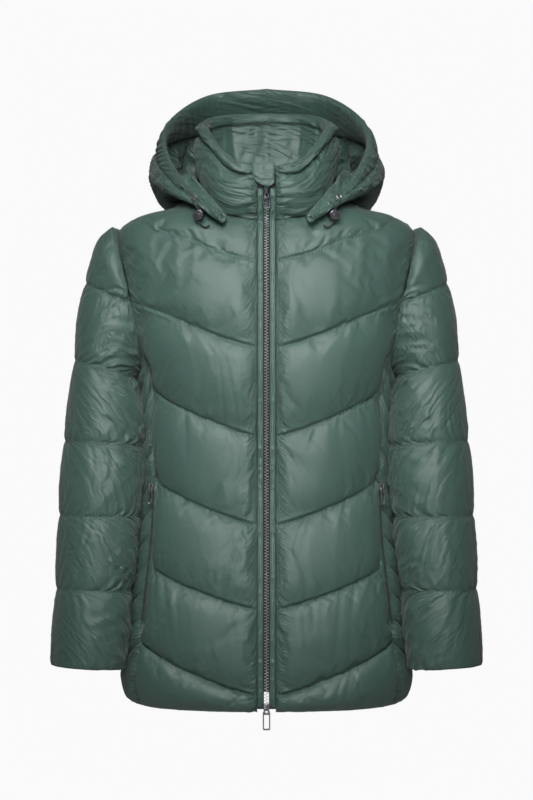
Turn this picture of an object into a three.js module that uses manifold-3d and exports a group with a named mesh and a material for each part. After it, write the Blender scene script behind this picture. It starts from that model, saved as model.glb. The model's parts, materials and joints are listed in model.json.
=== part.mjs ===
// A hooded quilted jacket, worn open-necked and zipped up, as a hollow shell of sewn pieces.
// Millimetres, +Z up, the front faces -Y, and the wearer's left is +X.
// Heights are measured from the front hem while the pieces are worked out. At the end the whole group is
// moved so that the origin is the nape, the middle of the back neck seam, where the wearer carries it.
import * as THREE from "three";
import { mergeVertices } from "three/addons/utils/BufferGeometryUtils.js";
import Module from "manifold-3d";

const wasm = await Module();
wasm.setup();

// Driving sizes
const SEAM_GAP = 0.3; // between two pieces that are sewn together
const SEAM_WALL = 3; // the pressed thickness of shell, wadding and lining at a seam
const FRONT_PUFF = 10; // how far a channel of the body stands out between its seams
const SEAM_ANGLE = 0.22; // degrees from a long seam of the body to each of the two panels it joins
const SIDE_PUFF = 5;
const SLEEVE_PUFF = 6.5;
const COLLAR_PUFF = 9;
const HOOD_PUFF = 6;
const BAND_PUFF = 3;
const PLACKET_EDGE = 13; // from the middle of the zip to the front panel
const CHAIN_HALF = 3.2; // half the width of the closed teeth
const SECTION_POWER = 0.88; // 1 is an ellipse, and less is a fuller, squarer section
const SHOULDER_HEIGHT = 676;
const UNDERARM_HEIGHT = 473;
const ARMHOLE_HALF_TURN = 27; // degrees that the armhole spans to the front and to the back
const SLEEVE_JOIN_HEIGHT = 527; // where the princess seam runs into the armhole
const NAPE_HEIGHT = 768;
const NAPE_DEPTH = 62.5;

// Horizontal sections of the body, in millimetres
const BODY = [
  { height: -5, halfWidth: 195, front: 127, back: 121 },
  { height: 0, halfWidth: 196, front: 128, back: 122 },
  { height: 22, halfWidth: 202, front: 130, back: 124 },
  { height: 60, halfWidth: 205, front: 132, back: 126 },
  { height: 154, halfWidth: 196, front: 130, back: 122 },
  { height: 240, halfWidth: 184, front: 121, back: 109 },
  { height: 322, halfWidth: 176, front: 114, back: 101 },
  { height: 400, halfWidth: 173, front: 118, back: 105 },
  { height: 473, halfWidth: 177, front: 126, back: 112 },
  { height: 520, halfWidth: 194, front: 127, back: 116 },
  { height: 577, halfWidth: 213, front: 122, back: 117 },
  { height: 630, halfWidth: 219, front: 113, back: 110 },
  { height: 676, halfWidth: 213, front: 96, back: 97 },
  { height: 694, halfWidth: 189, front: 82, back: 91 },
  { height: 710, halfWidth: 142, front: 62, back: 86 },
  { height: 726, halfWidth: 111, front: 44, back: 80 },
  { height: 742, halfWidth: 82, front: 26, back: 74 },
  { height: 768, halfWidth: 70, front: 20, back: 62.5 },
];

// Angles round the body are in degrees from the middle of the front
const PRINCESS = [
  { height: -5, angle: 63.3 },
  { height: 60, angle: 60.4 },
  { height: 130, angle: 58.2 },
  { height: 220, angle: 58.4 },
  { height: 318, angle: 61.5 },
  { height: 380, angle: 64.2 },
  { height: 435, angle: 66.2 },
  { height: 490, angle: 67 },
  { height: 527, angle: 66.0 },
];
const NECK = [
  { angle: 0, height: 686, collarTop: 767 },
  { angle: 20, height: 700, collarTop: 768 },
  { angle: 45, height: 726, collarTop: 797 },
  { angle: 70, height: 738, collarTop: 824 },
  { angle: 90, height: 742, collarTop: 834 },
  { angle: 135, height: 758, collarTop: 853 },
  { angle: 180, height: 768, collarTop: 859 },
];
const HEM = [
  { angle: 0, height: -3 },
  { angle: 45, height: -2 },
  { angle: 90, height: 3 },
  { angle: 135, height: -1 },
  { angle: 180, height: -3 },
];

// Quilting lines that slope down to the middle: their heights at the middle and at the outer edge.
// bend lifts the line's middle, as a share of its rise.
const CHEVRONS = [
  { middle: 19, edge: 92, bend: 0 },
  { middle: 140, edge: 199, bend: 0 },
  { middle: 257, edge: 321, bend: 0 },
  { middle: 382, edge: 451, bend: 0 },
  { middle: 507, edge: 573, bend: 0.18 },
  { middle: 630, edge: SHOULDER_HEIGHT, bend: 1 },
];
const COLLAR_TOP = { halfWidth: 92, front: 92, back: 80, bow: 7 };
const SIDE_QUILT = { lowest: 92, step: 40.5, lines: 11, drop: 33 };

// Sleeve rings at the quilting lines below the underarm: the centre, the half width and half depth,
// how far the ring is turned towards the front, and how much lower its inner side lies
const SLEEVE_RINGS = [
  { line: 2, x: 231, y: -6, height: 479, halfWidth: 44, halfDepth: 62, turn: 0, drop: 12 },
  { line: 3, x: 234, y: -30, height: 372, halfWidth: 53, halfDepth: 60, turn: 14, drop: 3 },
  { line: 4, x: 239.5, y: -48, height: 269, halfWidth: 53, halfDepth: 58, turn: 20, drop: 0 },
  { line: 5, x: 246.5, y: -61, height: 165, halfWidth: 49.5, halfDepth: 55, turn: 20, drop: 0 },
  { line: 6, x: 254.5, y: -68, height: 55, halfWidth: 49, halfDepth: 51, turn: 20, drop: 2.5 },
];
const SLEEVE_LINES = 6;
const SLEEVE_INSET = 2.8; // the sleeve's edge lies this far inside the armhole
const SLEEVE_OUTSET = { top: 1.8, under: 3 }; // and this far outside it, at the shoulder and the underarm
// The way that the sleeve leaves the armhole, how far it keeps that way as a share of the distance to the
// underarm ring, and how much higher its quilting line lies on the outside than halfway down the armhole
const SLEEVE_HEAD = { out: 0.76, forward: 0.3, down: 0.64, reach: 0.36, lineLift: 28 };

// The hood lies open behind the collar. Each row is a cut through it, from the back (0) to its front tip (1),
// with the angle round the neck where it is sewn.
const HOOD = [
  { at: 0, seam: 180 },
  { at: 0.2, seam: 150 },
  { at: 0.4, seam: 122 },
  { at: 0.6, seam: 86 },
  { at: 0.8, seam: 44 },
  { at: 1, seam: 20 },
];
// A cut's points, in the order of those rows: the neck seam, where it rests on the shoulders, its lowest fold,
// its outermost fold, and the edge of the face opening
const HOOD_POINTS = {
  neck: [
    [0, 86, 778],
    [50, 76, 773],
    [90, 42, 762],
    [100, -4, 753],
    [88, -60, 734],
    [56, -101, 694],
  ],
  rest: [
    [0, 126, 716],
    [64, 116, 716],
    [112, 78, 732],
    [122, 10, 746],
    [100, -64, 725],
    [58, -106, 687],
  ],
  low: [
    [0, 168, 650],
    [86, 150, 664],
    [138, 104, 708],
    [149, 22, 737],
    [115, -63, 720],
    [62, -110, 684],
  ],
  fold: [
    [0, 224, 780],
    [114, 194, 780],
    [161, 114, 774],
    [160, 22, 758],
    [124, -58, 727],
    [65, -113, 689],
  ],
  brim: [
    [0, 158, 904],
    [87, 142, 892],
    [142, 78, 848],
    [148, 8, 799],
    [112, -62, 739],
    [62, -109, 696],
  ],
};
const HOOD_SEAM = 0.24; // where the middle panel of the hood meets the side panels
const BAND_SHARE = 0.13; // the hood's edge band, as a share of each cut

// Hardware
const TAPE = { to: 12.4, thick: 1 }; // the zip tape, from the teeth out to this distance from the middle
const PLACKET = { from: 4.7, to: 12.6, thick: 2.6, top: 733 };
const CHAIN_FRONT = 2; // from the middle line to the front of the teeth
const CHAIN_BACK = 1;
const CHAIN = { bottom: 10, top: 722 };
const TAPE_TOP = 762;
const CHIN_TOP = 769;
const GUARD_STAND = 6.6; // from the middle line to the middle of the flap
const GUARD_DROP = 1.5; // how much nearer it lies where it is sewn to the collar
const SLIDER = { halfWidth: 4.2, height: 11, depth: 2.8, bridge: 3.7, bridgeWidth: 2, bar: 1.6 };
const TOP_PULL = { width: 10.5, length: 21 };
const BOTTOM_PULL = { width: 10.5, length: 30 };
const POCKET = { top: 318, bottom: 122, pullWidth: 9, pullLength: 25, weltShare: 0.05, zipShare: 0.06 };
const POCKET_STAND = 3.7; // from the pressed seam to the back of the pocket's slider
const CORD_RADIUS = 1.25;
const TOGGLE = { x: 96, y: -97, height: 695, radius: 7.3, length: 10, turn: 12 };
const EYELET = { at: 0.86, share: 0.91, outer: 5, inner: 2.2, thick: 1.4 };

const GREEN = new THREE.MeshStandardMaterial({ color: 0x3f5f54, roughness: 0.42, metalness: 0 });
const BLACK_TAPE = new THREE.MeshStandardMaterial({ color: 0x17181a, roughness: 0.8, metalness: 0 });
const GUNMETAL = new THREE.MeshStandardMaterial({ color: 0x4a484d, roughness: 0.3, metalness: 0.9 });
const BLACK_CORD = new THREE.MeshStandardMaterial({ color: 0x101113, roughness: 0.9, metalness: 0 });

const jacket = new THREE.Group();

const toRadians = THREE.MathUtils.degToRad;
const mix = THREE.MathUtils.lerp;
const signedPower = (value, power) => Math.sign(value) * Math.abs(value) ** power;

// A smooth curve through one column of a table, against its key column.
function smooth(rows, key, column) {
  const xs = rows.map((row) => row[key]);
  const ys = rows.map((row) => row[column]);
  const last = rows.length - 1;
  const slopes = xs.map((_, i) => {
    const before = Math.max(i - 1, 0);
    const after = Math.min(i + 1, last);
    return (ys[after] - ys[before]) / (xs[after] - xs[before]);
  });
  return (value) => {
    const at = THREE.MathUtils.clamp(value, xs[0], xs[last]);
    let i = 0;
    while (i < last - 1 && at > xs[i + 1]) i += 1;
    const width = xs[i + 1] - xs[i];
    const t = (at - xs[i]) / width;
    const s = 1 - t;
    return (
      ys[i] * (1 + 2 * t) * s * s +
      slopes[i] * width * t * s * s +
      ys[i + 1] * (3 - 2 * t) * t * t -
      slopes[i + 1] * width * t * t * s
    );
  };
}

const halfWidthAt = smooth(BODY, "height", "halfWidth");
const frontAt = smooth(BODY, "height", "front");
const backAt = smooth(BODY, "height", "back");
const princessAt = smooth(PRINCESS, "height", "angle");
const neckAt = smooth(NECK, "angle", "height");
const collarTopAt = smooth(NECK, "angle", "collarTop");
const hemAt = smooth(HEM, "angle", "height");

// The point of the body's seam surface at an angle round it and a height.
function bodyPoint(angle, height) {
  const turn = toRadians(angle);
  const depth = Math.cos(turn) > 0 ? frontAt(height) : backAt(height);
  return new THREE.Vector3(
    halfWidthAt(height) * signedPower(Math.sin(turn), SECTION_POWER),
    -depth * signedPower(Math.cos(turn), SECTION_POWER),
    height,
  );
}

// The outward normal of any surface given by two parameters, the first running anticlockwise seen from above.
function normalOf(surface, a, b, stepA, stepB) {
  const along = surface(a + stepA, b).sub(surface(a - stepA, b));
  const up = surface(a, b + stepB).sub(surface(a, b - stepB));
  return along.cross(up).normalize();
}

const bodyNormal = (angle, height) => normalOf(bodyPoint, angle, height, 0.5, 1);

// The angle at which the body reaches a given distance to the side.
function angleAcross(x, height) {
  return THREE.MathUtils.radToDeg(Math.asin((x / halfWidthAt(height)) ** (1 / SECTION_POWER)));
}

// The angle of the front panel's outer edge: the princess seam, then the armhole, then the shoulder seam.
function outerEdgeAt(height) {
  if (height <= SLEEVE_JOIN_HEIGHT) return princessAt(height);
  if (height >= SHOULDER_HEIGHT) return 90;
  const middle = (SHOULDER_HEIGHT + UNDERARM_HEIGHT) / 2;
  const share = (height - middle) / (SHOULDER_HEIGHT - middle);
  return 90 - ARMHOLE_HALF_TURN * Math.sqrt(1 - share * share);
}

// A point of the armhole, by the turn round it: 0 is the shoulder, 90 the front, 180 the underarm.
function armholePoint(turn) {
  const middle = (SHOULDER_HEIGHT + UNDERARM_HEIGHT) / 2;
  const height = middle + (SHOULDER_HEIGHT - middle) * Math.cos(toRadians(turn));
  return bodyPoint(90 - ARMHOLE_HALF_TURN * Math.sin(toRadians(turn)), height);
}

// The rounded profile of a stuffed channel: 0 at its seams and 1 between them.
const puffAcross = (share) => Math.sqrt(Math.max(0, 4 * share * (1 - share)));

// How a channel rises from a seam across its end, over a given width.
function puffFromEdge(distance, width) {
  const share = THREE.MathUtils.clamp(distance / width, 0, 1);
  return Math.sqrt(share * (2 - share));
}

// A closed mesh from points and faces, with shared points merged and empty faces left out.
function solidGeometry(points, faces) {
  const raw = new THREE.BufferGeometry().setFromPoints(points).setIndex(faces.flat());
  const merged = mergeVertices(raw, 1e-3);
  const index = merged.index.array;
  const kept = [];
  for (let i = 0; i < index.length; i += 3) {
    const [a, b, c] = [index[i], index[i + 1], index[i + 2]];
    if (a !== b && b !== c && c !== a) kept.push(a, b, c);
  }
  merged.setIndex(kept);
  merged.computeVertexNormals();
  return merged;
}

// A wall between an outer and an inner grid of points. Both have the same columns. Their rows may differ:
// outerRows and innerRows say where each row lies. A round wall joins its last column to its first.
function wall(outer, outerRows, inner, innerRows, round) {
  const columns = outer[0].length;
  const points = [...outer.flat(), ...inner.flat()];
  const outerAt = (row, column) => row * columns + (column % columns);
  const innerAt = (row, column) => outer.length * columns + row * columns + (column % columns);
  const spans = round ? columns : columns - 1;
  const faces = [];
  for (let c = 0; c < spans; c += 1) {
    for (let r = 0; r < outer.length - 1; r += 1) {
      faces.push([outerAt(r, c), outerAt(r, c + 1), outerAt(r + 1, c + 1)]);
      faces.push([outerAt(r, c), outerAt(r + 1, c + 1), outerAt(r + 1, c)]);
    }
    for (let r = 0; r < inner.length - 1; r += 1) {
      faces.push([innerAt(r, c), innerAt(r + 1, c + 1), innerAt(r, c + 1)]);
      faces.push([innerAt(r, c), innerAt(r + 1, c), innerAt(r + 1, c + 1)]);
    }
    const [top, innerTop] = [outer.length - 1, inner.length - 1];
    faces.push([outerAt(0, c), innerAt(0, c + 1), outerAt(0, c + 1)]);
    faces.push([outerAt(0, c), innerAt(0, c), innerAt(0, c + 1)]);
    faces.push([outerAt(top, c), outerAt(top, c + 1), innerAt(innerTop, c + 1)]);
    faces.push([outerAt(top, c), innerAt(innerTop, c + 1), innerAt(innerTop, c)]);
  }
  if (!round) {
    for (const column of [0, columns - 1]) {
      const edge = [];
      let [o, i] = [0, 0];
      while (o < outer.length - 1 || i < inner.length - 1) {
        const stepOuter =
          i === inner.length - 1 || (o < outer.length - 1 && outerRows[o + 1] <= innerRows[i + 1] + 1e-9);
        if (stepOuter) {
          edge.push([outerAt(o, column), outerAt(o + 1, column), innerAt(i, column)]);
          o += 1;
        } else {
          edge.push([outerAt(o, column), innerAt(i + 1, column), innerAt(i, column)]);
          i += 1;
        }
      }
      faces.push(...(column === 0 ? edge : edge.map(([a, b, c]) => [a, c, b])));
    }
  }
  return solidGeometry(points, faces);
}

// A wall whose seam surface, outward normal and loft are functions of a column and a row.
function quiltedWall({ columns, rows, innerRows, surface, normal, loft, outside, inside, round = false }) {
  const offset = (column, row, distance) =>
    surface(column, row).addScaledVector(normal(column, row), distance);
  const outer = rows.map((row) =>
    columns.map((column) => offset(column, row, outside + loft(column, row))),
  );
  const inner = innerRows.map((row) => columns.map((column) => offset(column, row, -inside)));
  return wall(outer, rows, inner, innerRows, round);
}

// The other side's copy of a piece.
function mirrored(geometry) {
  const bare = geometry.clone().scale(-1, 1, 1);
  bare.deleteAttribute("normal");
  bare.deleteAttribute("uv");
  const copy = mergeVertices(bare, 1e-4);
  const index = Array.from(copy.index.array);
  for (let i = 0; i < index.length; i += 3) [index[i + 1], index[i + 2]] = [index[i + 2], index[i + 1]];
  copy.setIndex(index);
  copy.computeVertexNormals();
  return copy;
}

function add(name, geometry, material) {
  const mesh = new THREE.Mesh(geometry, material);
  mesh.name = name;
  jacket.add(mesh);
}

function addPair(name, geometry, material) {
  add(name + "_left", geometry, material);
  add(name + "_right", mirrored(geometry), material);
}

// Row positions inside each channel, closer together near its seams, for a number of channels.
function channelRows(channels, shares) {
  const rows = [0];
  for (let c = 0; c < channels; c += 1) rows.push(...shares.map((share) => c + share));
  return rows;
}

// Chevron panels of the body. A row is a channel number plus a share of the way through it.
const chevronLine = (line, across) =>
  mix(line.middle, line.edge, across + line.bend * across * Math.sin(Math.PI * across));

// The height of a chevron row, for a share of the way from the middle of the panel to its edge.
function chevronHeight(row, across, hemHeight, neckHeight) {
  const lines = CHEVRONS.map((line) => chevronLine(line, across));
  const bounds = [hemHeight, ...lines, neckHeight];
  const channel = Math.min(Math.floor(row), bounds.length - 2);
  return mix(bounds[channel], bounds[channel + 1], row - channel);
}

const BODY_CHANNELS = CHEVRONS.length + 1;
// the edges turn faster beside the underarm and at the end of the shoulder seam, so rows are added there
const BODY_TURNS = [4.2, 5.94, 5.98];
const BODY_SHARES = [0.12, 0.4, 0.6, 0.88, 1];
const BODY_ROWS = [...channelRows(BODY_CHANNELS, BODY_SHARES), ...BODY_TURNS].sort((a, b) => a - b);
const BODY_INNER_ROWS = channelRows(BODY_CHANNELS, [0.5, 1]);

// 1 beside the pocket and 0 away from it, for the flat strip that its welt and its zip lie on
const POCKET_FLAT = { below: 50, fullBelow: 22, fullAbove: 6, above: 24 };
const pocketReach = (height) =>
  THREE.MathUtils.smoothstep(height, POCKET.bottom - POCKET_FLAT.below, POCKET.bottom - POCKET_FLAT.fullBelow) *
  (1 - THREE.MathUtils.smoothstep(height, POCKET.top + POCKET_FLAT.fullAbove, POCKET.top + POCKET_FLAT.above));

// The body is drawn flatter towards the neck seam, under the hood.
const NECK_FLAT = { by: 0.7, from: BODY_CHANNELS - 0.8, to: BODY_CHANNELS - 0.1 };
const neckEase = (row) => 1 - NECK_FLAT.by * THREE.MathUtils.smoothstep(row, NECK_FLAT.from, NECK_FLAT.to);
const BODY_END = 0.16; // how far from its long edges a channel of the body rises, as a share of the panel

function frontPlace(across, row) {
  const neckStart = angleAcross(PLACKET_EDGE, NECK[0].height);
  const neck = neckAt(mix(neckStart, 90, across)) - SEAM_GAP;
  const height = chevronHeight(row, across, hemAt(60 * across), neck);
  const first = angleAcross(PLACKET_EDGE, height);
  const last = outerEdgeAt(height) - SEAM_ANGLE;
  return [mix(first, last, across), height];
}

function frontLoft(across, row) {
  const share = row - Math.min(Math.floor(row), BODY_CHANNELS - 1);
  const flat = POCKET.weltShare * pocketReach(frontPlace(across, row)[1]);
  const ends = puffFromEdge(across, BODY_END) * puffFromEdge(1 - flat - across, BODY_END);
  return FRONT_PUFF * puffAcross(share) * ends * neckEase(row);
}

const frontPanel = quiltedWall({
  columns: [0, 0.05, 0.16, 0.33, 0.5, 0.67, 0.84, 0.95, 1],
  rows: BODY_ROWS,
  innerRows: BODY_INNER_ROWS,
  surface: (across, row) => bodyPoint(...frontPlace(across, row)),
  normal: (across, row) => bodyNormal(...frontPlace(across, row)),
  loft: frontLoft,
  outside: SEAM_WALL / 2,
  inside: SEAM_WALL / 2,
});
addPair("front", frontPanel, GREEN);

// The back is one piece: across runs from -1 at the wearer's left edge to 1 at the right edge.
function backPlace(across, row) {
  const out = Math.abs(across);
  const neck = neckAt(180 - 90 * out) - SEAM_GAP;
  const height = chevronHeight(row, out, hemAt(180 - 60 * out), neck);
  const reach = outerEdgeAt(height) - SEAM_ANGLE;
  return [180 + reach * across, height];
}

function backLoft(across, row) {
  const share = row - Math.min(Math.floor(row), BODY_CHANNELS - 1);
  return FRONT_PUFF * puffAcross(share) * puffFromEdge(1 - Math.abs(across), BODY_END) * neckEase(row);
}

const BACK_HALF = [0.18, 0.36, 0.53, 0.7, 0.86, 0.95, 1];
add(
  "back",
  quiltedWall({
    columns: [...BACK_HALF.map((share) => -share).reverse(), 0, ...BACK_HALF],
    rows: BODY_ROWS,
    innerRows: BODY_INNER_ROWS,
    surface: (across, row) => bodyPoint(...backPlace(across, row)),
    normal: (across, row) => bodyNormal(...backPlace(across, row)),
    loft: backLoft,
    outside: SEAM_WALL / 2,
    inside: SEAM_WALL / 2,
  }),
  GREEN,
);

// Side panels, from the front princess seam to the back one, under the armhole
const SIDE_CHANNELS = SIDE_QUILT.lines + 1;

function armholeFloor(angle) {
  const middle = (SHOULDER_HEIGHT + UNDERARM_HEIGHT) / 2;
  const share = Math.min(1, Math.abs(90 - angle) / ARMHOLE_HALF_TURN);
  return middle - (middle - UNDERARM_HEIGHT) * Math.sqrt(1 - share * share);
}

function sideAngle(across, height) {
  const first = princessAt(height) + SEAM_ANGLE;
  return mix(first, 180 - first, across);
}

function sidePlace(across, row) {
  let top = SLEEVE_JOIN_HEIGHT;
  for (let i = 0; i < 8; i += 1) top = armholeFloor(sideAngle(across, top)) - SEAM_GAP;
  const down = SIDE_QUILT.drop * Math.sin(Math.PI * across);
  const bounds = [hemAt(60 + 60 * across)];
  for (let line = 0; line < SIDE_QUILT.lines; line += 1) {
    bounds.push(SIDE_QUILT.lowest + SIDE_QUILT.step * line - down);
  }
  const squeeze = (top - bounds[0]) / (SLEEVE_JOIN_HEIGHT - down - bounds[0]);
  const channel = Math.min(Math.floor(row), SIDE_CHANNELS - 1);
  bounds.push(SLEEVE_JOIN_HEIGHT - down);
  const level = mix(bounds[channel], bounds[channel + 1], row - channel);
  const height = bounds[0] + (level - bounds[0]) * squeeze;
  return [sideAngle(across, height), height];
}

function sideLoft(across, row) {
  const share = row - Math.min(Math.floor(row), SIDE_CHANNELS - 1);
  const underarm = 1 - 0.7 * THREE.MathUtils.smoothstep(row, SIDE_CHANNELS - 4, SIDE_CHANNELS - 1);
  const flat = POCKET.zipShare * pocketReach(sidePlace(across, row)[1]);
  const ends = puffFromEdge(across - flat, 0.12) * puffFromEdge(1 - across, 0.12);
  return SIDE_PUFF * underarm * puffAcross(share) * ends;
}

const sidePanel = quiltedWall({
  columns: [0, 0.06, 0.2, 0.35, 0.5, 0.65, 0.8, 0.94, 1],
  rows: channelRows(SIDE_CHANNELS, [0.2, 0.5, 0.8, 1]),
  innerRows: channelRows(SIDE_CHANNELS, [1]),
  surface: (across, row) => bodyPoint(...sidePlace(across, row)),
  normal: (across, row) => bodyNormal(...sidePlace(across, row)),
  loft: sideLoft,
  outside: SEAM_WALL / 2,
  inside: SEAM_WALL / 2,
});
addPair("side", sidePanel, GREEN);

// Sleeves. A row is a quilting line plus a share of the way to the next: 0 is the armhole, 1 the line
// that crosses the sleeve head, 2 the line at the underarm, and 6 the cuff's edge.
const sleeveRing = Object.fromEntries(
  ["x", "y", "height", "halfWidth", "halfDepth", "turn", "drop"].map((column) => [
    column,
    smooth(SLEEVE_RINGS, "line", column),
  ]),
);

function sleeveRingPoint(turn, line) {
  const angle = toRadians(turn);
  const across = sleeveRing.halfWidth(line) * signedPower(Math.cos(angle), SECTION_POWER);
  const along = -sleeveRing.halfDepth(line) * signedPower(Math.sin(angle), SECTION_POWER);
  const yaw = toRadians(sleeveRing.turn(line));
  return new THREE.Vector3(
    sleeveRing.x(line) + across * Math.cos(yaw) + along * Math.sin(yaw),
    sleeveRing.y(line) - across * Math.sin(yaw) + along * Math.cos(yaw),
    sleeveRing.height(line) + sleeveRing.drop(line) * Math.cos(angle),
  );
}

// The sleeve head runs from the armhole to the ring at the underarm in one smooth sweep.
function sleeveHeadPoint(turn, share) {
  const angle = toRadians(turn);
  const start = armholePoint(turn);
  const under = 0.5 - 0.5 * Math.cos(angle);
  const { out, forward, down } = SLEEVE_HEAD;
  const leave = new THREE.Vector3(out, -forward * Math.sin(angle), -down).normalize();
  const middle = bodyPoint(90, (SHOULDER_HEIGHT + UNDERARM_HEIGHT) / 2);
  start.addScaledVector(middle.sub(start).normalize(), SLEEVE_INSET);
  start.x += mix(SLEEVE_OUTSET.top, SLEEVE_OUTSET.under, under);
  const end = sleeveRingPoint(turn, 2);
  const next = sleeveRingPoint(turn, 2.3).sub(end).normalize();
  const reach = SLEEVE_HEAD.reach * start.distanceTo(end);
  return new THREE.CubicBezierCurve3(
    start,
    start.clone().addScaledVector(leave, reach),
    end.clone().addScaledVector(next, -reach),
    end,
  ).getPoint(share);
}

// How far down the sleeve head its quilting line crosses, at each turn round the sleeve.
function headLineShare(turn) {
  const angle = toRadians(turn);
  if (Math.cos(angle) <= 1e-6) return 0;
  const target = (SHOULDER_HEIGHT + UNDERARM_HEIGHT) / 2 + SLEEVE_HEAD.lineLift * Math.cos(angle);
  let [low, high] = [0, 1];
  for (let i = 0; i < 24; i += 1) {
    const middle = (low + high) / 2;
    if (sleeveHeadPoint(turn, middle).z > target) low = middle;
    else high = middle;
  }
  return low;
}

function sleevePoint(turn, row) {
  if (row >= 2) return sleeveRingPoint(turn, row);
  const line = headLineShare(turn);
  return sleeveHeadPoint(turn, row < 1 ? row * line : mix(line, 1, row - 1));
}

// Outward from the sleeve's own axis, so that it stays steady where rows close up at the armhole.
function sleeveNormal(turn, row) {
  if (row < 1e-6 || (row < 1.001 && headLineShare(turn) < 0.02)) row = 1.02;
  const along = sleevePoint(turn + 1, row).sub(sleevePoint(turn - 1, row));
  const up = sleevePoint(turn, Math.max(row - 0.04, 0)).sub(sleevePoint(turn, Math.min(row + 0.04, 6)));
  return up.cross(along).normalize();
}

// The channels stand out most in front and behind. They are drawn flatter along the outside, and flatter
// still where the sleeve lies against the body.
const SLEEVE_FLAT = { outside: 0.5, inside: 0.65, headEnd: 0.6 };

function sleeveLoft(turn, row) {
  const channel = Math.min(Math.floor(row), SLEEVE_LINES - 1);
  const facing = Math.cos(toRadians(turn));
  const inner = SLEEVE_FLAT.inside * THREE.MathUtils.smoothstep(-facing, 0.1, 0.9);
  const outer = SLEEVE_FLAT.outside * THREE.MathUtils.smoothstep(facing, 0.3, 1);
  const full = SLEEVE_PUFF * puffAcross(row - channel) * (1 - inner - outer);
  return row < 1 ? full * puffFromEdge(Math.max(0, facing), SLEEVE_FLAT.headEnd) : full;
}

const SLEEVE_COLUMNS = 24;
const sleeveTurns = Array.from({ length: SLEEVE_COLUMNS }, (_, i) => (-360 * i) / SLEEVE_COLUMNS);
const sleeveGeometry = quiltedWall({
  columns: sleeveTurns,
  rows: channelRows(SLEEVE_LINES, [0.12, 0.4, 0.6, 0.88, 1]).reverse(),
  innerRows: channelRows(SLEEVE_LINES, [0.5, 1]).reverse(),
  surface: sleevePoint,
  normal: sleeveNormal,
  loft: sleeveLoft,
  outside: SEAM_WALL / 2,
  inside: SEAM_WALL / 2,
  round: true,
});
addPair("sleeve", sleeveGeometry, GREEN);

// Collar: a stuffed stand-up band on the neck seam, open at the front where the zip runs.
function collarPoint(angle, share) {
  const folded = angle > 180 ? 360 - angle : angle;
  const foot = bodyPoint(angle, neckAt(folded));
  const turn = toRadians(angle);
  const depth = Math.cos(turn) > 0 ? COLLAR_TOP.front : COLLAR_TOP.back;
  const top = new THREE.Vector3(
    COLLAR_TOP.halfWidth * signedPower(Math.sin(turn), SECTION_POWER),
    -depth * signedPower(Math.cos(turn), SECTION_POWER),
    collarTopAt(folded),
  );
  const rounding = COLLAR_TOP.bow * Math.sin(Math.PI * share);
  const out = new THREE.Vector3(Math.sin(turn), -Math.cos(turn), 0).multiplyScalar(rounding);
  return foot.lerp(top, share).add(out);
}

// A column of the collar runs from 0 at its left front edge to 2 at its right one. The front edges stay at
// the same distance from the middle all the way up.
function collarAngle(column, share) {
  const halfWidth = mix(halfWidthAt(NECK[0].height), COLLAR_TOP.halfWidth, share);
  const first = THREE.MathUtils.radToDeg(Math.asin((PLACKET_EDGE / halfWidth) ** (1 / SECTION_POWER)));
  return column <= 1 ? mix(first, 180, column) : mix(180, 360 - first, column - 1);
}

const COLLAR_LIFT = 0.02; // keeps the collar's lower edge off the panels' top edges
const COLLAR_END = 0.07; // how far from its front edges the collar rises to its full thickness
const collarHalf = [0, 0.025, 0.08, 0.16, 0.26, 0.37, 0.49, 0.61, 0.75, 0.88];
const collarColumns = [...collarHalf, 1, ...collarHalf.map((column) => 2 - column).reverse()];
const collarRow = (row) => mix(COLLAR_LIFT, 1, row);
add(
  "collar",
  quiltedWall({
    columns: collarColumns,
    rows: [0, 0.1, 0.3, 0.5, 0.7, 0.9, 0.97, 1],
    innerRows: [0, 0.33, 0.66, 1],
    surface: (column, row) => collarPoint(collarAngle(column, collarRow(row)), collarRow(row)),
    normal: (column, row) =>
      normalOf(collarPoint, collarAngle(column, collarRow(row)), collarRow(row), 1, 0.02),
    loft: (column, row) => {
      const end = puffFromEdge(Math.min(column, 2 - column), COLLAR_END);
      return COLLAR_PUFF * puffAcross(row) * end;
    },
    outside: SEAM_WALL / 2,
    inside: SEAM_WALL / 2,
  }),
  GREEN,
);

// Hood. A cut through it is a smooth line from the neck seam (0) to the edge of the face opening (1).
const hoodCurves = Object.values(HOOD_POINTS).map((points) =>
  [0, 1, 2].map((axis) =>
    smooth(
      HOOD.map((row, i) => ({ at: row.at, value: points[i][axis] })),
      "at",
      "value",
    ),
  ),
);

// side runs from 1 at the left front tip through 0 at the back to -1 at the right front tip.
function hoodPoint(side, share) {
  const at = Math.abs(side);
  const points = hoodCurves.map(([x, y, z]) => new THREE.Vector3(Math.sign(side) * x(at), y(at), z(at)));
  return new THREE.CatmullRomCurve3(points, false, "centripetal").getPoint(THREE.MathUtils.clamp(share, 0, 1));
}

function hoodNormal(side, share) {
  const at = THREE.MathUtils.clamp(share, 0.02, 0.98);
  return normalOf((s, v) => hoodPoint(-s, v), -side, at, 0.01, 0.02);
}

// From the seam of the band to each piece, as a share of the cut, which is shorter towards the tips
const BAND_GAP = { back: 0.0006, tip: 0.006 };
const bandGap = (side) => mix(BAND_GAP.back, BAND_GAP.tip, Math.abs(side));
const HOOD_TIP = { from: 0.55, to: 0.9 }; // the hood thins between these places towards its front tips
const HOOD_END = 0.15; // how far from its long edges a panel rises, as a share of its width

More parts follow.
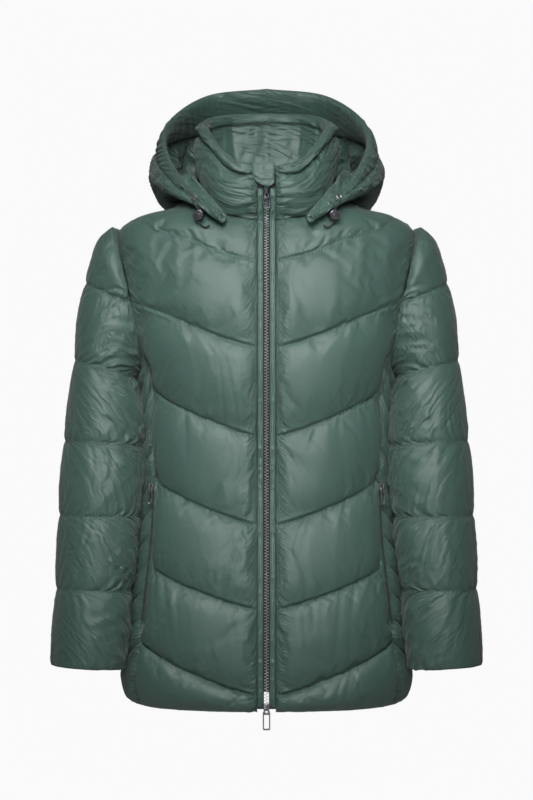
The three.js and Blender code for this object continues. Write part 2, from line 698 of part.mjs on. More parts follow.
function hoodPanel(from, to, columns, puff) {
  const shares = Array.from({ length: columns + 1 }, (_, i) => i / columns);
  const sideAt = (column) => mix(from, to, column);
  const place = (column, row) => [sideAt(column), row * (1 - BAND_SHARE - bandGap(sideAt(column)))];
  return quiltedWall({
    columns: shares,
    rows: [0, 0.05, 0.15, 0.3, 0.45, 0.6, 0.75, 0.88, 0.96, 1],
    innerRows: [0, 0.15, 0.3, 0.45, 0.6, 0.75, 0.88, 1],
    surface: (column, row) => hoodPoint(...place(column, row)),
    normal: (column, row) => hoodNormal(...place(column, row)),
    loft: (column, row) => {
      const tip = 1 - THREE.MathUtils.smoothstep(Math.abs(sideAt(column)), HOOD_TIP.from, HOOD_TIP.to);
      const ends = puffFromEdge(column, HOOD_END) * puffFromEdge(1 - column, HOOD_END);
      return puff * puffAcross(row) * ends * tip;
    },
    outside: SEAM_WALL / 2,
    inside: SEAM_WALL / 2,
  });
}

const HOOD_GAP = 0.0004; // from a seam between two panels to each of them, as a share of the half hood
add("hood_middle", hoodPanel(HOOD_SEAM - HOOD_GAP, -HOOD_SEAM + HOOD_GAP, 8, HOOD_PUFF), GREEN);
addPair("hood_side", hoodPanel(1, HOOD_SEAM + HOOD_GAP, 10, HOOD_PUFF), GREEN);

// The band round the face opening is gathered into ribs at its two upper corners.
const BAND_COLUMNS = 44;
const GATHERS = { from: 0.1, full: 0.2, fullTo: 0.5, to: 0.65, depth: 0.6 };
const bandRib = (column) => {
  const side = Math.abs(1 - 2 * column);
  const start = THREE.MathUtils.smoothstep(side, GATHERS.from, GATHERS.full);
  const end = THREE.MathUtils.smoothstep(side, GATHERS.fullTo, GATHERS.to);
  return 1 - GATHERS.depth * start * (1 - end) * (Math.round(column * BAND_COLUMNS) % 2);
};
const BAND_TIP = { from: 0.7, to: 0.84 }; // the band thins between these places towards the front tips
const bandPlace = (column, row) => {
  const side = 1 - 2 * column;
  return [side, mix(1 - BAND_SHARE + bandGap(side), 1, row)];
};
add(
  "hood_band",
  quiltedWall({
    columns: Array.from({ length: BAND_COLUMNS + 1 }, (_, i) => i / BAND_COLUMNS),
    rows: [0, 0.2, 0.5, 0.8, 1],
    innerRows: [0, 1],
    surface: (column, row) => hoodPoint(...bandPlace(column, row)),
    normal: (column, row) => hoodNormal(...bandPlace(column, row)),
    loft: (column, row) => {
      const tip = 1 - THREE.MathUtils.smoothstep(Math.abs(1 - 2 * column), BAND_TIP.from, BAND_TIP.to);
      return BAND_PUFF * puffAcross(row) * bandRib(column) * tip;
    },
    outside: SEAM_WALL / 2,
    inside: SEAM_WALL / 2,
  }),
  GREEN,
);

// The zip tape that joins the hood to the neck seam shows as a black flap at each front end.
const TAPE_SHARE = 0.09; // how far up the collar the tape is sewn
const TAPE_STAND = 8.2; // from the collar's seam surface to the middle of the tape, over the collar's swell
const TAPE_CLEAR = 3; // from the hood's wall to the tape's outer edge
const hoodSeamAt = smooth(HOOD, "at", "seam");

function hoodTapePoint(side, share) {
  const angle = hoodSeamAt(side);
  const out = normalOf(collarPoint, angle, TAPE_SHARE, 1, 0.02);
  const foot = collarPoint(angle, TAPE_SHARE).addScaledVector(out, TAPE_STAND);
  const edge = hoodPoint(side, 0);
  const stop = 1 - (SEAM_WALL / 2 + TAPE_CLEAR) / foot.distanceTo(edge);
  return foot.lerp(edge, share * stop);
}

const hoodTape = quiltedWall({
  columns: Array.from({ length: 13 }, (_, i) => mix(0.95, 0.004, i / 12)),
  rows: [0, 0.5, 1],
  innerRows: [0, 0.5, 1],
  surface: hoodTapePoint,
  normal: (side, row) => normalOf((s, v) => hoodTapePoint(-s, v), -side, mix(0.05, 0.95, row), 0.004, 0.04),
  loft: () => 0,
  outside: 0.6,
  inside: 0.6,
});
addPair("hood_zip_tape", hoodTape, BLACK_TAPE);

// Front closing. Everything follows the middle line of the front, up the collar's front edge.
function closingDepth(height) {
  const { height: neck, collarTop } = NECK[0];
  return height <= neck ? -frontAt(height) : collarPoint(0, (height - neck) / (collarTop - neck)).y;
}

// All the strips bend at the same heights, and so stay parallel.
const CLOSING_STEPS = [
  ...Array.from({ length: 26 }, (_, i) => i * 26.4),
  ...Array.from({ length: 9 }, (_, i) => NECK[0].height + 10 * i),
];

// An upright strip between two sides, with its front and back faces at distances from the middle line.
function strip(left, right, front, back, bottom, top) {
  const sides = [left, right];
  const outer = [];
  const inner = [];
  const between = CLOSING_STEPS.filter((height) => height > bottom + 1 && height < top - 1);
  for (const height of [bottom, ...between, top]) {
    outer.push(sides.map((x) => new THREE.Vector3(x, closingDepth(height) - front, height)));
    inner.push(sides.map((x) => new THREE.Vector3(x, closingDepth(height) + back, height)));
  }
  const rows = outer.map((_, i) => i);
  return wall(outer, rows, inner, rows, false);
}

const tapeHalf = TAPE.thick / 2;
addPair(
  "placket",
  strip(
    PLACKET.from,
    PLACKET.to,
    tapeHalf + SEAM_GAP + PLACKET.thick,
    -tapeHalf - SEAM_GAP,
    3,
    PLACKET.top,
  ),
  GREEN,
);
addPair(
  "zip_tape",
  strip(CHAIN_HALF + SEAM_GAP, TAPE.to, tapeHalf, tapeHalf, 1, TAPE_TOP),
  BLACK_TAPE,
);
add("zip_teeth", strip(-CHAIN_HALF, CHAIN_HALF, CHAIN_FRONT, CHAIN_BACK, CHAIN.bottom, CHAIN.top), GUNMETAL);

// Chin guard: a rounded flap folded over the top of the zip from the wearer's right
const CHIN_GUARD = [
  { across: -20, low: 751 },
  { across: -15, low: 743 },
  { across: -8, low: 737.5 },
  { across: -1, low: 735 },
  { across: 6, low: 736 },
  { across: 11.5, low: 740 },
];
const guardLow = smooth(CHIN_GUARD, "across", "low");
const guardHeight = (across, row) => mix(guardLow(across), CHIN_TOP, row);
const guardStand = (across) => GUARD_STAND - GUARD_DROP * THREE.MathUtils.smoothstep(-across, 4, 20);
add(
  "chin_guard",
  quiltedWall({
    columns: CHIN_GUARD.map((row) => row.across),
    rows: [0, 0.3, 0.7, 1],
    innerRows: [0, 0.3, 0.7, 1],
    surface: (across, row) => {
      const height = guardHeight(across, row);
      return new THREE.Vector3(across, closingDepth(height) - guardStand(across), height);
    },
    normal: () => new THREE.Vector3(0, -1, 0),
    loft: (across, row) => 0.8 * puffAcross(row),
    outside: 1.1,
    inside: 1.1,
  }),
  GREEN,
);

// A flat piece in the upright plane, from its outline and its holes, with its back at depth 0
function plate(outline, holes, thick) {
  const shape = new THREE.Shape(outline.map(([x, y]) => new THREE.Vector2(x, y)));
  shape.holes = holes.map((hole) => new THREE.Path(hole.map(([x, y]) => new THREE.Vector2(x, y))));
  const geometry = new THREE.ExtrudeGeometry(shape, { depth: thick, bevelEnabled: false });
  return geometry.rotateX(Math.PI / 2);
}

const rectangle = (left, right, bottom, top) => [
  [left, bottom],
  [right, bottom],
  [right, top],
  [left, top],
];

// Sliders: a flat body with a bridge along its front, and a pull whose crossbar turns inside the bridge.
const BAR_DROP = 1.3; // from the slider's face to the middle of the crossbar
const BAR_HEIGHT = 3.3; // above the slider's lower end

function asSolid(geometry) {
  const bare = geometry.clone();
  bare.deleteAttribute("normal");
  bare.deleteAttribute("uv");
  const merged = mergeVertices(bare, 1e-4);
  return new wasm.Manifold(
    new wasm.Mesh({
      numProp: 3,
      vertProperties: new Float32Array(merged.attributes.position.array),
      triVerts: new Uint32Array(merged.index.array),
    }),
  );
}

function asGeometry(solid) {
  const mesh = solid.getMesh();
  const geometry = new THREE.BufferGeometry();
  geometry.setAttribute("position", new THREE.BufferAttribute(mesh.vertProperties, 3));
  geometry.setIndex(new THREE.BufferAttribute(mesh.triVerts, 1));
  geometry.computeVertexNormals();
  return geometry;
}

// The slider's face looks along -Y, and its lower end is at height 0.
function sliderGeometry() {
  const { halfWidth: w, height: h, depth, bridge, bridgeWidth } = SLIDER;
  const body = plate(
    [
      [-w + 1.2, 0],
      [w - 1.2, 0],
      [w, 1.6],
      [w, h - 3],
      [w - 1.8, h],
      [-w + 1.8, h],
      [-w, h - 3],
      [-w, 1.6],
    ],
    [],
    depth,
  );
  const staple = new THREE.Shape(
    [
      [0.6, 1],
      [0.6, 2.1],
      [-bridge + 1.1, 2.1],
      [-bridge + 1.1, h - 2.1],
      [0.6, h - 2.1],
      [0.6, h - 1],
      [-bridge + 0.5, h - 1],
      [-bridge, h - 1.8],
      [-bridge, 1.8],
      [-bridge + 0.5, 1],
    ].map(([y, z]) => new THREE.Vector2(y, z)),
  );
  const arch = new THREE.ExtrudeGeometry(staple, { depth: bridgeWidth, bevelEnabled: false });
  arch.applyMatrix4(
    new THREE.Matrix4().makeBasis(
      new THREE.Vector3(0, 1, 0),
      new THREE.Vector3(0, 0, 1),
      new THREE.Vector3(1, 0, 0),
    ),
  );
  arch.translate(-bridgeWidth / 2, -depth, 0);
  return asGeometry(asSolid(body).add(asSolid(arch)));
}

// The pull's crossbar is at the origin, and the plate hangs down from it.
function pullGeometry(width, length) {
  const half = width / 2;
  const bar = SLIDER.bar / 2;
  const outline = [
    [-2.9, bar],
    [-half, -6],
    [-half, -length + 1.5],
    [-half + 1.5, -length],
    [half - 1.5, -length],
    [half, -length + 1.5],
    [half, -6],
    [2.9, bar],
  ];
  const eye = rectangle(-1.7, 1.7, -bar - 4.6, -bar);
  const window = rectangle(-half + 1.8, half - 1.8, -length + 2.4, -8.6);
  return plate(outline, [eye.reverse(), window.reverse()], SLIDER.bar).translate(0, SLIDER.bar / 2, 0);
}

// Puts a slider and its pull on a face: the face's point, and the way that it looks, seen from above.
function addSlider(name, face, facing, height, pull) {
  const turn = Math.atan2(facing.x, -facing.y);
  const place = (geometry, up, out) =>
    geometry
      .rotateZ(turn)
      .translate(face.x + Math.sin(turn) * out, face.y - Math.cos(turn) * out, height + up);
  add("slider_" + name, place(sliderGeometry(), 0, 0), GUNMETAL);
  const plateOut = pullGeometry(pull.width, pull.length);
  add("pull_" + name, place(plateOut, BAR_HEIGHT, SLIDER.depth + BAR_DROP), GUNMETAL);
}

const onTape = (height) => ({ x: 0, y: closingDepth(height) - tapeHalf - SEAM_GAP });
const FRONTWARD = { x: 0, y: -1 };
addSlider("top", onTape(CHAIN.top + 6), FRONTWARD, CHAIN.top + SEAM_GAP, TOP_PULL);
const BOTTOM_SLIDER = CHAIN.bottom - SEAM_GAP - SLIDER.height;
addSlider("bottom", onTape(CHAIN.bottom - 6), FRONTWARD, BOTTOM_SLIDER, BOTTOM_PULL);

// Pockets: the welt lies on the front panel's edge and the zip on the side panel's
const pocketRows = Array.from({ length: 11 }, (_, i) => mix(POCKET.bottom, POCKET.top, i / 10));
function pocketStrip(from, to, low, high) {
  return quiltedWall({
    columns: [from, to],
    rows: pocketRows,
    innerRows: pocketRows,
    surface: (across, height) => bodyPoint(princessAt(height) + across, height),
    normal: (across, height) => bodyNormal(princessAt(height) + across, height),
    loft: () => 0,
    outside: high,
    inside: -low,
  });
}
const WELT_ANGLES = { from: -3.1, to: -0.1 };
const ZIP_ANGLES = { from: 0.1, to: 1.5 };
const pressed = SEAM_WALL / 2 + 0.6;
addPair("pocket_welt", pocketStrip(WELT_ANGLES.from, WELT_ANGLES.to, pressed, SEAM_WALL / 2 + 2.8), GREEN);
addPair("pocket_zip", pocketStrip(ZIP_ANGLES.from, ZIP_ANGLES.to, pressed, SEAM_WALL / 2 + 2.2), BLACK_TAPE);
for (const [side, sign] of [
  ["left", 1],
  ["right", -1],
]) {
  const height = POCKET.top - SLIDER.height - 2;
  const angle = princessAt(height) + (ZIP_ANGLES.from + ZIP_ANGLES.to) / 2;
  const out = bodyNormal(angle, height).setZ(0).normalize();
  const face = bodyPoint(angle, height + SLIDER.height / 2).addScaledVector(out, SEAM_WALL / 2 + POCKET_STAND);
  addSlider(
    "pocket_" + side,
    { x: sign * face.x, y: face.y },
    { x: sign * out.x, y: out.y },
    height,
    { width: POCKET.pullWidth, length: POCKET.pullLength },
  );
}

// Hood hardware: an eyelet in the band, and an elastic cord from it through a toggle to the hood's corner
const eyeletAt = hoodPoint(EYELET.at, EYELET.share);
const eyeletOut = hoodNormal(EYELET.at, EYELET.share);
const eyelet = new THREE.LatheGeometry(
  [
    [EYELET.inner, 0],
    [EYELET.outer, 0],
    [EYELET.outer, EYELET.thick * 0.5],
    [EYELET.outer - 0.8, EYELET.thick],
    [EYELET.inner + 0.5, EYELET.thick],
    [EYELET.inner, EYELET.thick * 0.5],
    [EYELET.inner, 0],
  ].map(([x, y]) => new THREE.Vector2(x, y)),
  20,
);
const stand = SEAM_WALL / 2 + 0.4;
eyelet.applyQuaternion(new THREE.Quaternion().setFromUnitVectors(new THREE.Vector3(0, 1, 0), eyeletOut));
eyelet.translate(...eyeletAt.clone().addScaledVector(eyeletOut, stand).toArray());
addPair("eyelet", eyelet, GUNMETAL);

const cordStart = eyeletAt.clone().addScaledVector(eyeletOut, stand + EYELET.thick + 0.4);
const cordRoute = [
  cordStart.toArray(),
  [104, -95, 716],
  [100, -98, 708],
  [TOGGLE.x, TOGGLE.y, TOGGLE.height + TOGGLE.radius],
  [TOGGLE.x, TOGGLE.y, TOGGLE.height],
  [TOGGLE.x, TOGGLE.y, TOGGLE.height - TOGGLE.radius],
  [92, -98, 681],
  [86, -101, 678],
  [80, -102, 681],
].map((point) => new THREE.Vector3(...point));
const ring = (radius, sides) =>
  new THREE.Shape(
    Array.from({ length: sides }, (_, i) => {
      const turn = (2 * Math.PI * i) / sides;
      return new THREE.Vector2(radius * Math.cos(turn), radius * Math.sin(turn));
    }),
  );
const cord = new THREE.ExtrudeGeometry(ring(CORD_RADIUS, 8), {
  steps: 16,
  bevelEnabled: false,
  extrudePath: new THREE.CatmullRomCurve3(cordRoute),
});
addPair("hood_cord", cord, BLACK_CORD);

const drum = new THREE.CylinderGeometry(TOGGLE.radius, TOGGLE.radius, TOGGLE.length, 24);
drum.applyQuaternion(
  new THREE.Quaternion().setFromUnitVectors(
    new THREE.Vector3(0, 1, 0),
    new THREE.Vector3(Math.sin(toRadians(TOGGLE.turn)), -Math.cos(toRadians(TOGGLE.turn)), 0),
  ),
);
drum.translate(TOGGLE.x, TOGGLE.y, TOGGLE.height);
const bore = new THREE.CylinderGeometry(CORD_RADIUS + 0.9, CORD_RADIUS + 0.9, 30, 12).rotateX(Math.PI / 2);
bore.translate(TOGGLE.x, TOGGLE.y, TOGGLE.height);
addPair("toggle", asGeometry(asSolid(drum).subtract(asSolid(bore))), GUNMETAL);

jacket.position.set(0, -NAPE_DEPTH, -NAPE_HEIGHT);
export default jacket;
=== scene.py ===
"""A hooded quilted jacket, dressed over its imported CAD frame.

Lengths are millimetres in the cut's own frame, whose height 0 is the front hem, until a mesh is made.
Meshes are metres in the row frame, whose origin is the nape.
"""
import json
import logging
import math
from dataclasses import dataclass, field
from enum import Enum
from typing import Callable, Iterable, Optional, Sequence

import bmesh
import bpy
import numpy as np
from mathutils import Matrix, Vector


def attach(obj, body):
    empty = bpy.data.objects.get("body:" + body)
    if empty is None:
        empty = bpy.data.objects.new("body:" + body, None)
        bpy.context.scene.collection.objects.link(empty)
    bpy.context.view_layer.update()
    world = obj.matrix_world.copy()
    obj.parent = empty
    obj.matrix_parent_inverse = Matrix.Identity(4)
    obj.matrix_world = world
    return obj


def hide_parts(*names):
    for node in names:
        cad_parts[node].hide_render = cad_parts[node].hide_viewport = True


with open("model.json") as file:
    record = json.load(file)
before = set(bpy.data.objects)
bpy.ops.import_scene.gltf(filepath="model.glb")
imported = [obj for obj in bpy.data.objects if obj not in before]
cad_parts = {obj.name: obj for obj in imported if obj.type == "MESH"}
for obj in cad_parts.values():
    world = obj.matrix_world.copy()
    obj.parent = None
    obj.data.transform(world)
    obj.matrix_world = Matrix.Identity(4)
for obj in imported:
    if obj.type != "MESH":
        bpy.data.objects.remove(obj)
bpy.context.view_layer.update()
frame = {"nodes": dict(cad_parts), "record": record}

LOG = logging.getLogger("jacket")
Array = np.ndarray

MM = 0.001
NAPE = np.array([0.0, 62.5, 768.0])
MIRROR = np.array([-1.0, 1.0, 1.0])
FORWARD = np.array([0.0, -1.0, 0.0])
JACKET = "jacket"
SIMULATED_FRAMES = 16
BODY_CHANNEL_STEPS = [12, 22, 22, 22, 22, 22, 14]


class Slot(Enum):
    """Material slots of the record."""

    NYLON = "shell_nylon"
    TAPE = "zip_tape"
    CORD = "elastic_cord"
    GUNMETAL = "gunmetal"
    TOGGLE = "toggle_metal"


# Small numeric tools


def smooth_curve(rows: Sequence[tuple[float, float]]) -> Callable[[Array], Array]:
    """A smooth curve through table rows, held at its end values outside them.

    Args:
        rows: pairs of key and value, with rising keys.

    Returns:
        A function of an array of keys.
    """
    xs = np.array([row[0] for row in rows], float)
    ys = np.array([row[1] for row in rows], float)
    before = np.maximum(np.arange(len(xs)) - 1, 0)
    after = np.minimum(np.arange(len(xs)) + 1, len(xs) - 1)
    slopes = (ys[after] - ys[before]) / (xs[after] - xs[before])

    def curve(keys: Array) -> Array:
        """Values at keys."""
        at = np.clip(keys, xs[0], xs[-1])
        i = np.clip(np.searchsorted(xs, at, side="left") - 1, 0, len(xs) - 2)
        width = xs[i + 1] - xs[i]
        t = (at - xs[i]) / width
        s = 1 - t
        return (
            ys[i] * (1 + 2 * t) * s * s
            + slopes[i] * width * t * s * s
            + ys[i + 1] * (3 - 2 * t) * t * t
            - slopes[i + 1] * width * t * t * s
        )

    return curve


def mix(a: Array, b: Array, t: Array) -> Array:
    """The value a share t of the way from a to b."""
    return a + (b - a) * t


def ease(value: Array, low: float, high: float) -> Array:
    """0 below low, 1 above high, and smooth between them."""
    t = np.clip((value - low) / (high - low), 0, 1)
    return t * t * (3 - 2 * t)


def signed_power(value: Array, power: float) -> Array:
    """A power that keeps its sign."""
    return np.sign(value) * np.abs(value) ** power


def swell(share: Array) -> Array:
    """The rounded profile of a stuffed channel: 0 at its seams and 1 between them."""
    return np.sqrt(np.clip(4 * share * (1 - share), 0, None))


def rise(distance: Array, width: float) -> Array:
    """How a channel rises from a seam across its end, over a given width."""
    share = np.clip(distance / width, 0, 1)
    return np.sqrt(share * (2 - share))


def noise(x: Array, y: Array, seed: int) -> Array:
    """Smooth value noise from 0 to 1 with a period of 64 cells each way."""
    lattice = np.random.RandomState(seed).rand(64, 64)
    x, y = np.broadcast_arrays(x, y)
    xi, yi = np.floor(x).astype(int), np.floor(y).astype(int)
    fx, fy = x - xi, y - yi
    fx, fy = fx * fx * (3 - 2 * fx), fy * fy * (3 - 2 * fy)
    pick = lambda a, b: lattice[(yi + b) % 64, (xi + a) % 64]
    return mix(mix(pick(0, 0), pick(1, 0), fx), mix(pick(0, 1), pick(1, 1), fx), fy)


def normals(points: Array, closed: bool = False) -> Array:
    """Outward normals of a grid of points whose columns run anticlockwise and whose rows run up."""
    if closed:
        along = np.roll(points, -1, 1) - np.roll(points, 1, 1)
    else:
        along = np.gradient(points, axis=1)
    up = np.gradient(points, axis=0)
    cross = np.cross(along, up)
    return cross / np.maximum(np.linalg.norm(cross, axis=2, keepdims=True), 1e-9)


def lengths(points: Array, axis: int) -> Array:
    """Running length in millimetres along one axis of a grid of points."""
    steps = np.linalg.norm(np.diff(points, axis=axis), axis=2)
    pad = [(1, 0), (0, 0)] if axis == 0 else [(0, 0), (1, 0)]
    return np.pad(np.cumsum(steps, axis=axis), pad)


# The cut


BODY = [
    # height, half width, front, back
    (-5, 195, 127, 121),
    (0, 196, 128, 122),
    (22, 202, 130, 124),
    (60, 205, 132, 126),
    (154, 196, 130, 122),
    (240, 184, 121, 109),
    (322, 176, 114, 101),
    (400, 173, 118, 105),
    (473, 177, 126, 112),
    (520, 194, 127, 116),
    (577, 213, 122, 117),
    (630, 219, 113, 110),
    (676, 213, 96, 97),
    (694, 189, 82, 91),
    (710, 142, 62, 86),
    (726, 111, 44, 80),
    (742, 82, 26, 74),
    (768, 70, 20, 62.5),
]
PRINCESS = [
    (-5, 63.3), (60, 60.4), (130, 58.2), (220, 58.4), (318, 61.5), (380, 64.2), (435, 66.2), (490, 67),
    (527, 66),
]
NECK = [
    # angle, height of the neck seam, height of the collar's top
    (0, 686, 767), (20, 700, 768), (45, 726, 797), (70, 738, 824), (90, 742, 834), (135, 758, 853),
    (180, 768, 859),
]
HEM = [(0, -3), (45, -2), (90, 3), (135, -1), (180, -3)]
CHEVRONS = [
    # height at the middle, height at the edge, bend
    (19, 92, 0), (140, 199, 0), (257, 321, 0), (382, 451, 0), (507, 573, 0.18), (630, 676, 1),
]
SLEEVE_RINGS = [
    # line, x, y, height, half width, half depth, turn, drop
    (2, 231, -6, 479, 44, 62, 0, 12),
    (3, 234, -30, 372, 53, 60, 14, 3),
    (4, 239.5, -48, 269, 53, 58, 20, 0),
    (5, 246.5, -61, 165, 49.5, 55, 20, 0),
    (6, 254.5, -68, 55, 49, 51, 20, 2.5),
]
HOOD = [
    # at, seam angle, neck, rest, low, fold, brim
    (0, 180, (0, 86, 778), (0, 126, 716), (0, 168, 650), (0, 224, 780), (0, 158, 904)),
    (0.2, 150, (50, 76, 773), (64, 116, 716), (86, 150, 664), (114, 194, 780), (87, 142, 892)),
    (0.4, 122, (90, 42, 762), (112, 78, 732), (138, 104, 708), (161, 114, 774), (142, 78, 848)),
    (0.6, 86, (100, -4, 753), (122, 10, 746), (149, 22, 737), (160, 22, 758), (148, 8, 799)),
    (0.8, 44, (88, -60, 734), (100, -64, 725), (115, -63, 720), (124, -58, 727), (112, -62, 739)),
    (1, 20, (56, -101, 694), (58, -106, 687), (62, -110, 684), (65, -113, 689), (62, -109, 696)),
]
SECTION_POWER = 0.88
SHOULDER_HEIGHT = 676
UNDERARM_HEIGHT = 473
ARMHOLE_MIDDLE = (SHOULDER_HEIGHT + UNDERARM_HEIGHT) / 2
ARMHOLE_HALF_TURN = 27
SLEEVE_JOIN_HEIGHT = 527
PLACKET_EDGE = 13
SEAM_ANGLE = 0.05
HALF_WALL = 1.5
PIECE_GAP = 0.3
COLLAR_TOP = {"half_width": 92, "front": 92, "back": 80, "bow": 7}

half_width_at = smooth_curve([(r[0], r[1]) for r in BODY])
front_at = smooth_curve([(r[0], r[2]) for r in BODY])
back_at = smooth_curve([(r[0], r[3]) for r in BODY])
princess_at = smooth_curve(PRINCESS)
neck_at = smooth_curve([(r[0], r[1]) for r in NECK])
collar_top_at = smooth_curve([(r[0], r[2]) for r in NECK])
hem_at = smooth_curve(HEM)
ring_at = [smooth_curve([(r[0], r[c]) for r in SLEEVE_RINGS]) for c in range(1, 8)]
hood_at = [[smooth_curve([(r[0], r[p][c]) for r in HOOD]) for c in range(3)] for p in range(2, 7)]


def body_point(angle: Array, height: Array) -> Array:
    """Points of the body's seam surface at angles round it, in degrees from the front, and heights."""
    angle, height = np.broadcast_arrays(angle, height)
    turn = np.radians(angle)
    depth = np.where(np.cos(turn) > 0, front_at(height), back_at(height))
    return np.stack(
        [
            half_width_at(height) * signed_power(np.sin(turn), SECTION_POWER),
            -depth * signed_power(np.cos(turn), SECTION_POWER),
            height,
        ],
        axis=-1,
    )


def outer_edge_at(height: Array) -> Array:
    """The angle of a front or back panel's outer edge: princess seam, armhole, then shoulder seam."""
    share = np.clip((height - ARMHOLE_MIDDLE) / (SHOULDER_HEIGHT - ARMHOLE_MIDDLE), -1, 1)
    armhole = 90 - ARMHOLE_HALF_TURN * np.sqrt(1 - share * share)
    return np.where(
        height <= SLEEVE_JOIN_HEIGHT, princess_at(height), np.where(height >= SHOULDER_HEIGHT, 90, armhole)
    )


def armhole_point(turn: Array) -> Array:
    """Points of the armhole by the turn round it: 0 is the shoulder, 90 the front, 180 the underarm."""
    height = ARMHOLE_MIDDLE + (SHOULDER_HEIGHT - ARMHOLE_MIDDLE) * np.cos(np.radians(turn))
    return body_point(90 - ARMHOLE_HALF_TURN * np.sin(np.radians(turn)), height)


def chevron_height(row: Array, across: Array, hem: Array, neck: Array) -> Array:
    """Heights of a chevron panel's rows, at shares of the way from its middle to its outer edge."""
    row, across = np.broadcast_arrays(row, across)
    bounds = [hem + 0 * across]
    for middle, edge, bend in CHEVRONS:
        bounds.append(mix(middle, edge, across + bend * across * np.sin(np.pi * across)))
    bounds = np.stack(bounds + [neck + 0 * across])
    channel = np.minimum(np.floor(row).astype(int), len(bounds) - 2)
    low = np.take_along_axis(bounds, channel[None], 0)[0]
    high = np.take_along_axis(bounds, channel[None] + 1, 0)[0]
    return mix(low, high, row - channel)


def first_angle(half_width: Array) -> Array:
    """The angle at which a section reaches the placket's edge."""
    return np.degrees(np.arcsin((PLACKET_EDGE / half_width) ** (1 / SECTION_POWER)))


def front_place(across: Array, row: Array) -> tuple[Array, Array]:
    """Angles and heights of the left front panel."""
    start = first_angle(half_width_at(np.array(float(NECK[0][1]))))
    height = chevron_height(row, across, hem_at(60 * across), neck_at(mix(start, 90, across)) - PIECE_GAP)
    return mix(first_angle(half_width_at(height)), outer_edge_at(height) - SEAM_ANGLE, across), height


def back_place(across: Array, row: Array) -> tuple[Array, Array]:
    """Angles and heights of the back, across from -1 at its left edge to 1 at its right edge."""
    out = np.abs(across)
    height = chevron_height(row, out, hem_at(180 - 60 * out), neck_at(180 - 90 * out) - PIECE_GAP)
    return 180 + (outer_edge_at(height) - SEAM_ANGLE) * across, height


def sleeve_ring_point(turn: Array, line: Array) -> Array:
    """Points of the left sleeve below the underarm."""
    x, y, height, half_width, half_depth, yaw, drop = (curve(line) for curve in ring_at)
    angle, yaw = np.radians(turn), np.radians(yaw)
    across = half_width * signed_power(np.cos(angle), SECTION_POWER)
    along = -half_depth * signed_power(np.sin(angle), SECTION_POWER)
    return np.stack(
        [
            x + across * np.cos(yaw) + along * np.sin(yaw),
            y - across * np.sin(yaw) + along * np.cos(yaw),
            height + drop * np.cos(angle),
        ],
        axis=-1,
    )


def unit(vectors: Array) -> Array:
    """Vectors of length 1."""
    return vectors / np.maximum(np.linalg.norm(vectors, axis=-1, keepdims=True), 1e-9)


def sleeve_head_point(turn: Array, share: Array) -> Array:
    """Points of the sleeve head, from the armhole (0) to the ring at the underarm (1)."""
    turn, share = np.broadcast_arrays(np.asarray(turn, float), np.asarray(share, float))
    angle = np.radians(turn)
    under = 0.5 - 0.5 * np.cos(angle)
    leave = unit(np.stack([0.76 + 0 * angle, -0.3 * np.sin(angle), -0.64 + 0 * angle], axis=-1))
    start = armhole_point(turn)
    middle = body_point(np.array(90.0), np.array(ARMHOLE_MIDDLE))
    start = start + unit(middle - start) * 2.2
    start[..., 0] += mix(1.2, 3.0, under)
    end = sleeve_ring_point(turn, 2.0 + 0 * turn)
    after = unit(sleeve_ring_point(turn, 2.3 + 0 * turn) - end)
    reach = 0.36 * np.linalg.norm(end - start, axis=-1, keepdims=True)
    t = share[..., None]
    s = 1 - t
    return (
        s**3 * start
        + 3 * s * s * t * (start + leave * reach)
        + 3 * s * t * t * (end - after * reach)
        + t**3 * end
    )


def head_line_share(turn: Array) -> Array:
    """How far down the sleeve head its quilting line crosses, at each turn."""
    target = ARMHOLE_MIDDLE + 28 * np.cos(np.radians(turn))
    low, high = np.zeros_like(turn), np.ones_like(turn)
    for _ in range(24):
        middle = (low + high) / 2
        above = sleeve_head_point(turn, middle)[..., 2] > target
        low, high = np.where(above, middle, low), np.where(above, high, middle)
    return np.where(np.cos(np.radians(turn)) <= 1e-6, 0, low)


def collar_point(angle: Array, share: Array) -> Array:
    """Points of the collar, from the neck seam (0) to its top (1)."""
    angle, share = np.broadcast_arrays(np.asarray(angle, float), np.asarray(share, float))
    folded = np.where(angle > 180, 360 - angle, angle)
    foot = body_point(folded, neck_at(folded))
    foot[..., 0] *= np.where(angle > 180, -1, 1)
    turn = np.radians(angle)
    depth = np.where(np.cos(turn) > 0, COLLAR_TOP["front"], COLLAR_TOP["back"])
    top = np.stack(
        [
            COLLAR_TOP["half_width"] * signed_power(np.sin(turn), SECTION_POWER),
            -depth * signed_power(np.cos(turn), SECTION_POWER),
            collar_top_at(folded),
        ],
        axis=-1,
    )
    out = np.stack([np.sin(turn), -np.cos(turn), 0 * turn], axis=-1)
    bow = COLLAR_TOP["bow"] * np.sin(np.pi * share)
    return mix(foot, top, share[..., None]) + out * bow[..., None]


def closing_depth(height: Array) -> Array:
    """The y coordinate of the middle line of the front, up the body and the collar."""
    _, neck, collar_top = NECK[0]
    share = np.clip((height - neck) / (collar_top - neck), 0, 1)
    return np.where(height <= neck, -front_at(height), collar_point(np.zeros_like(height), share)[..., 1])


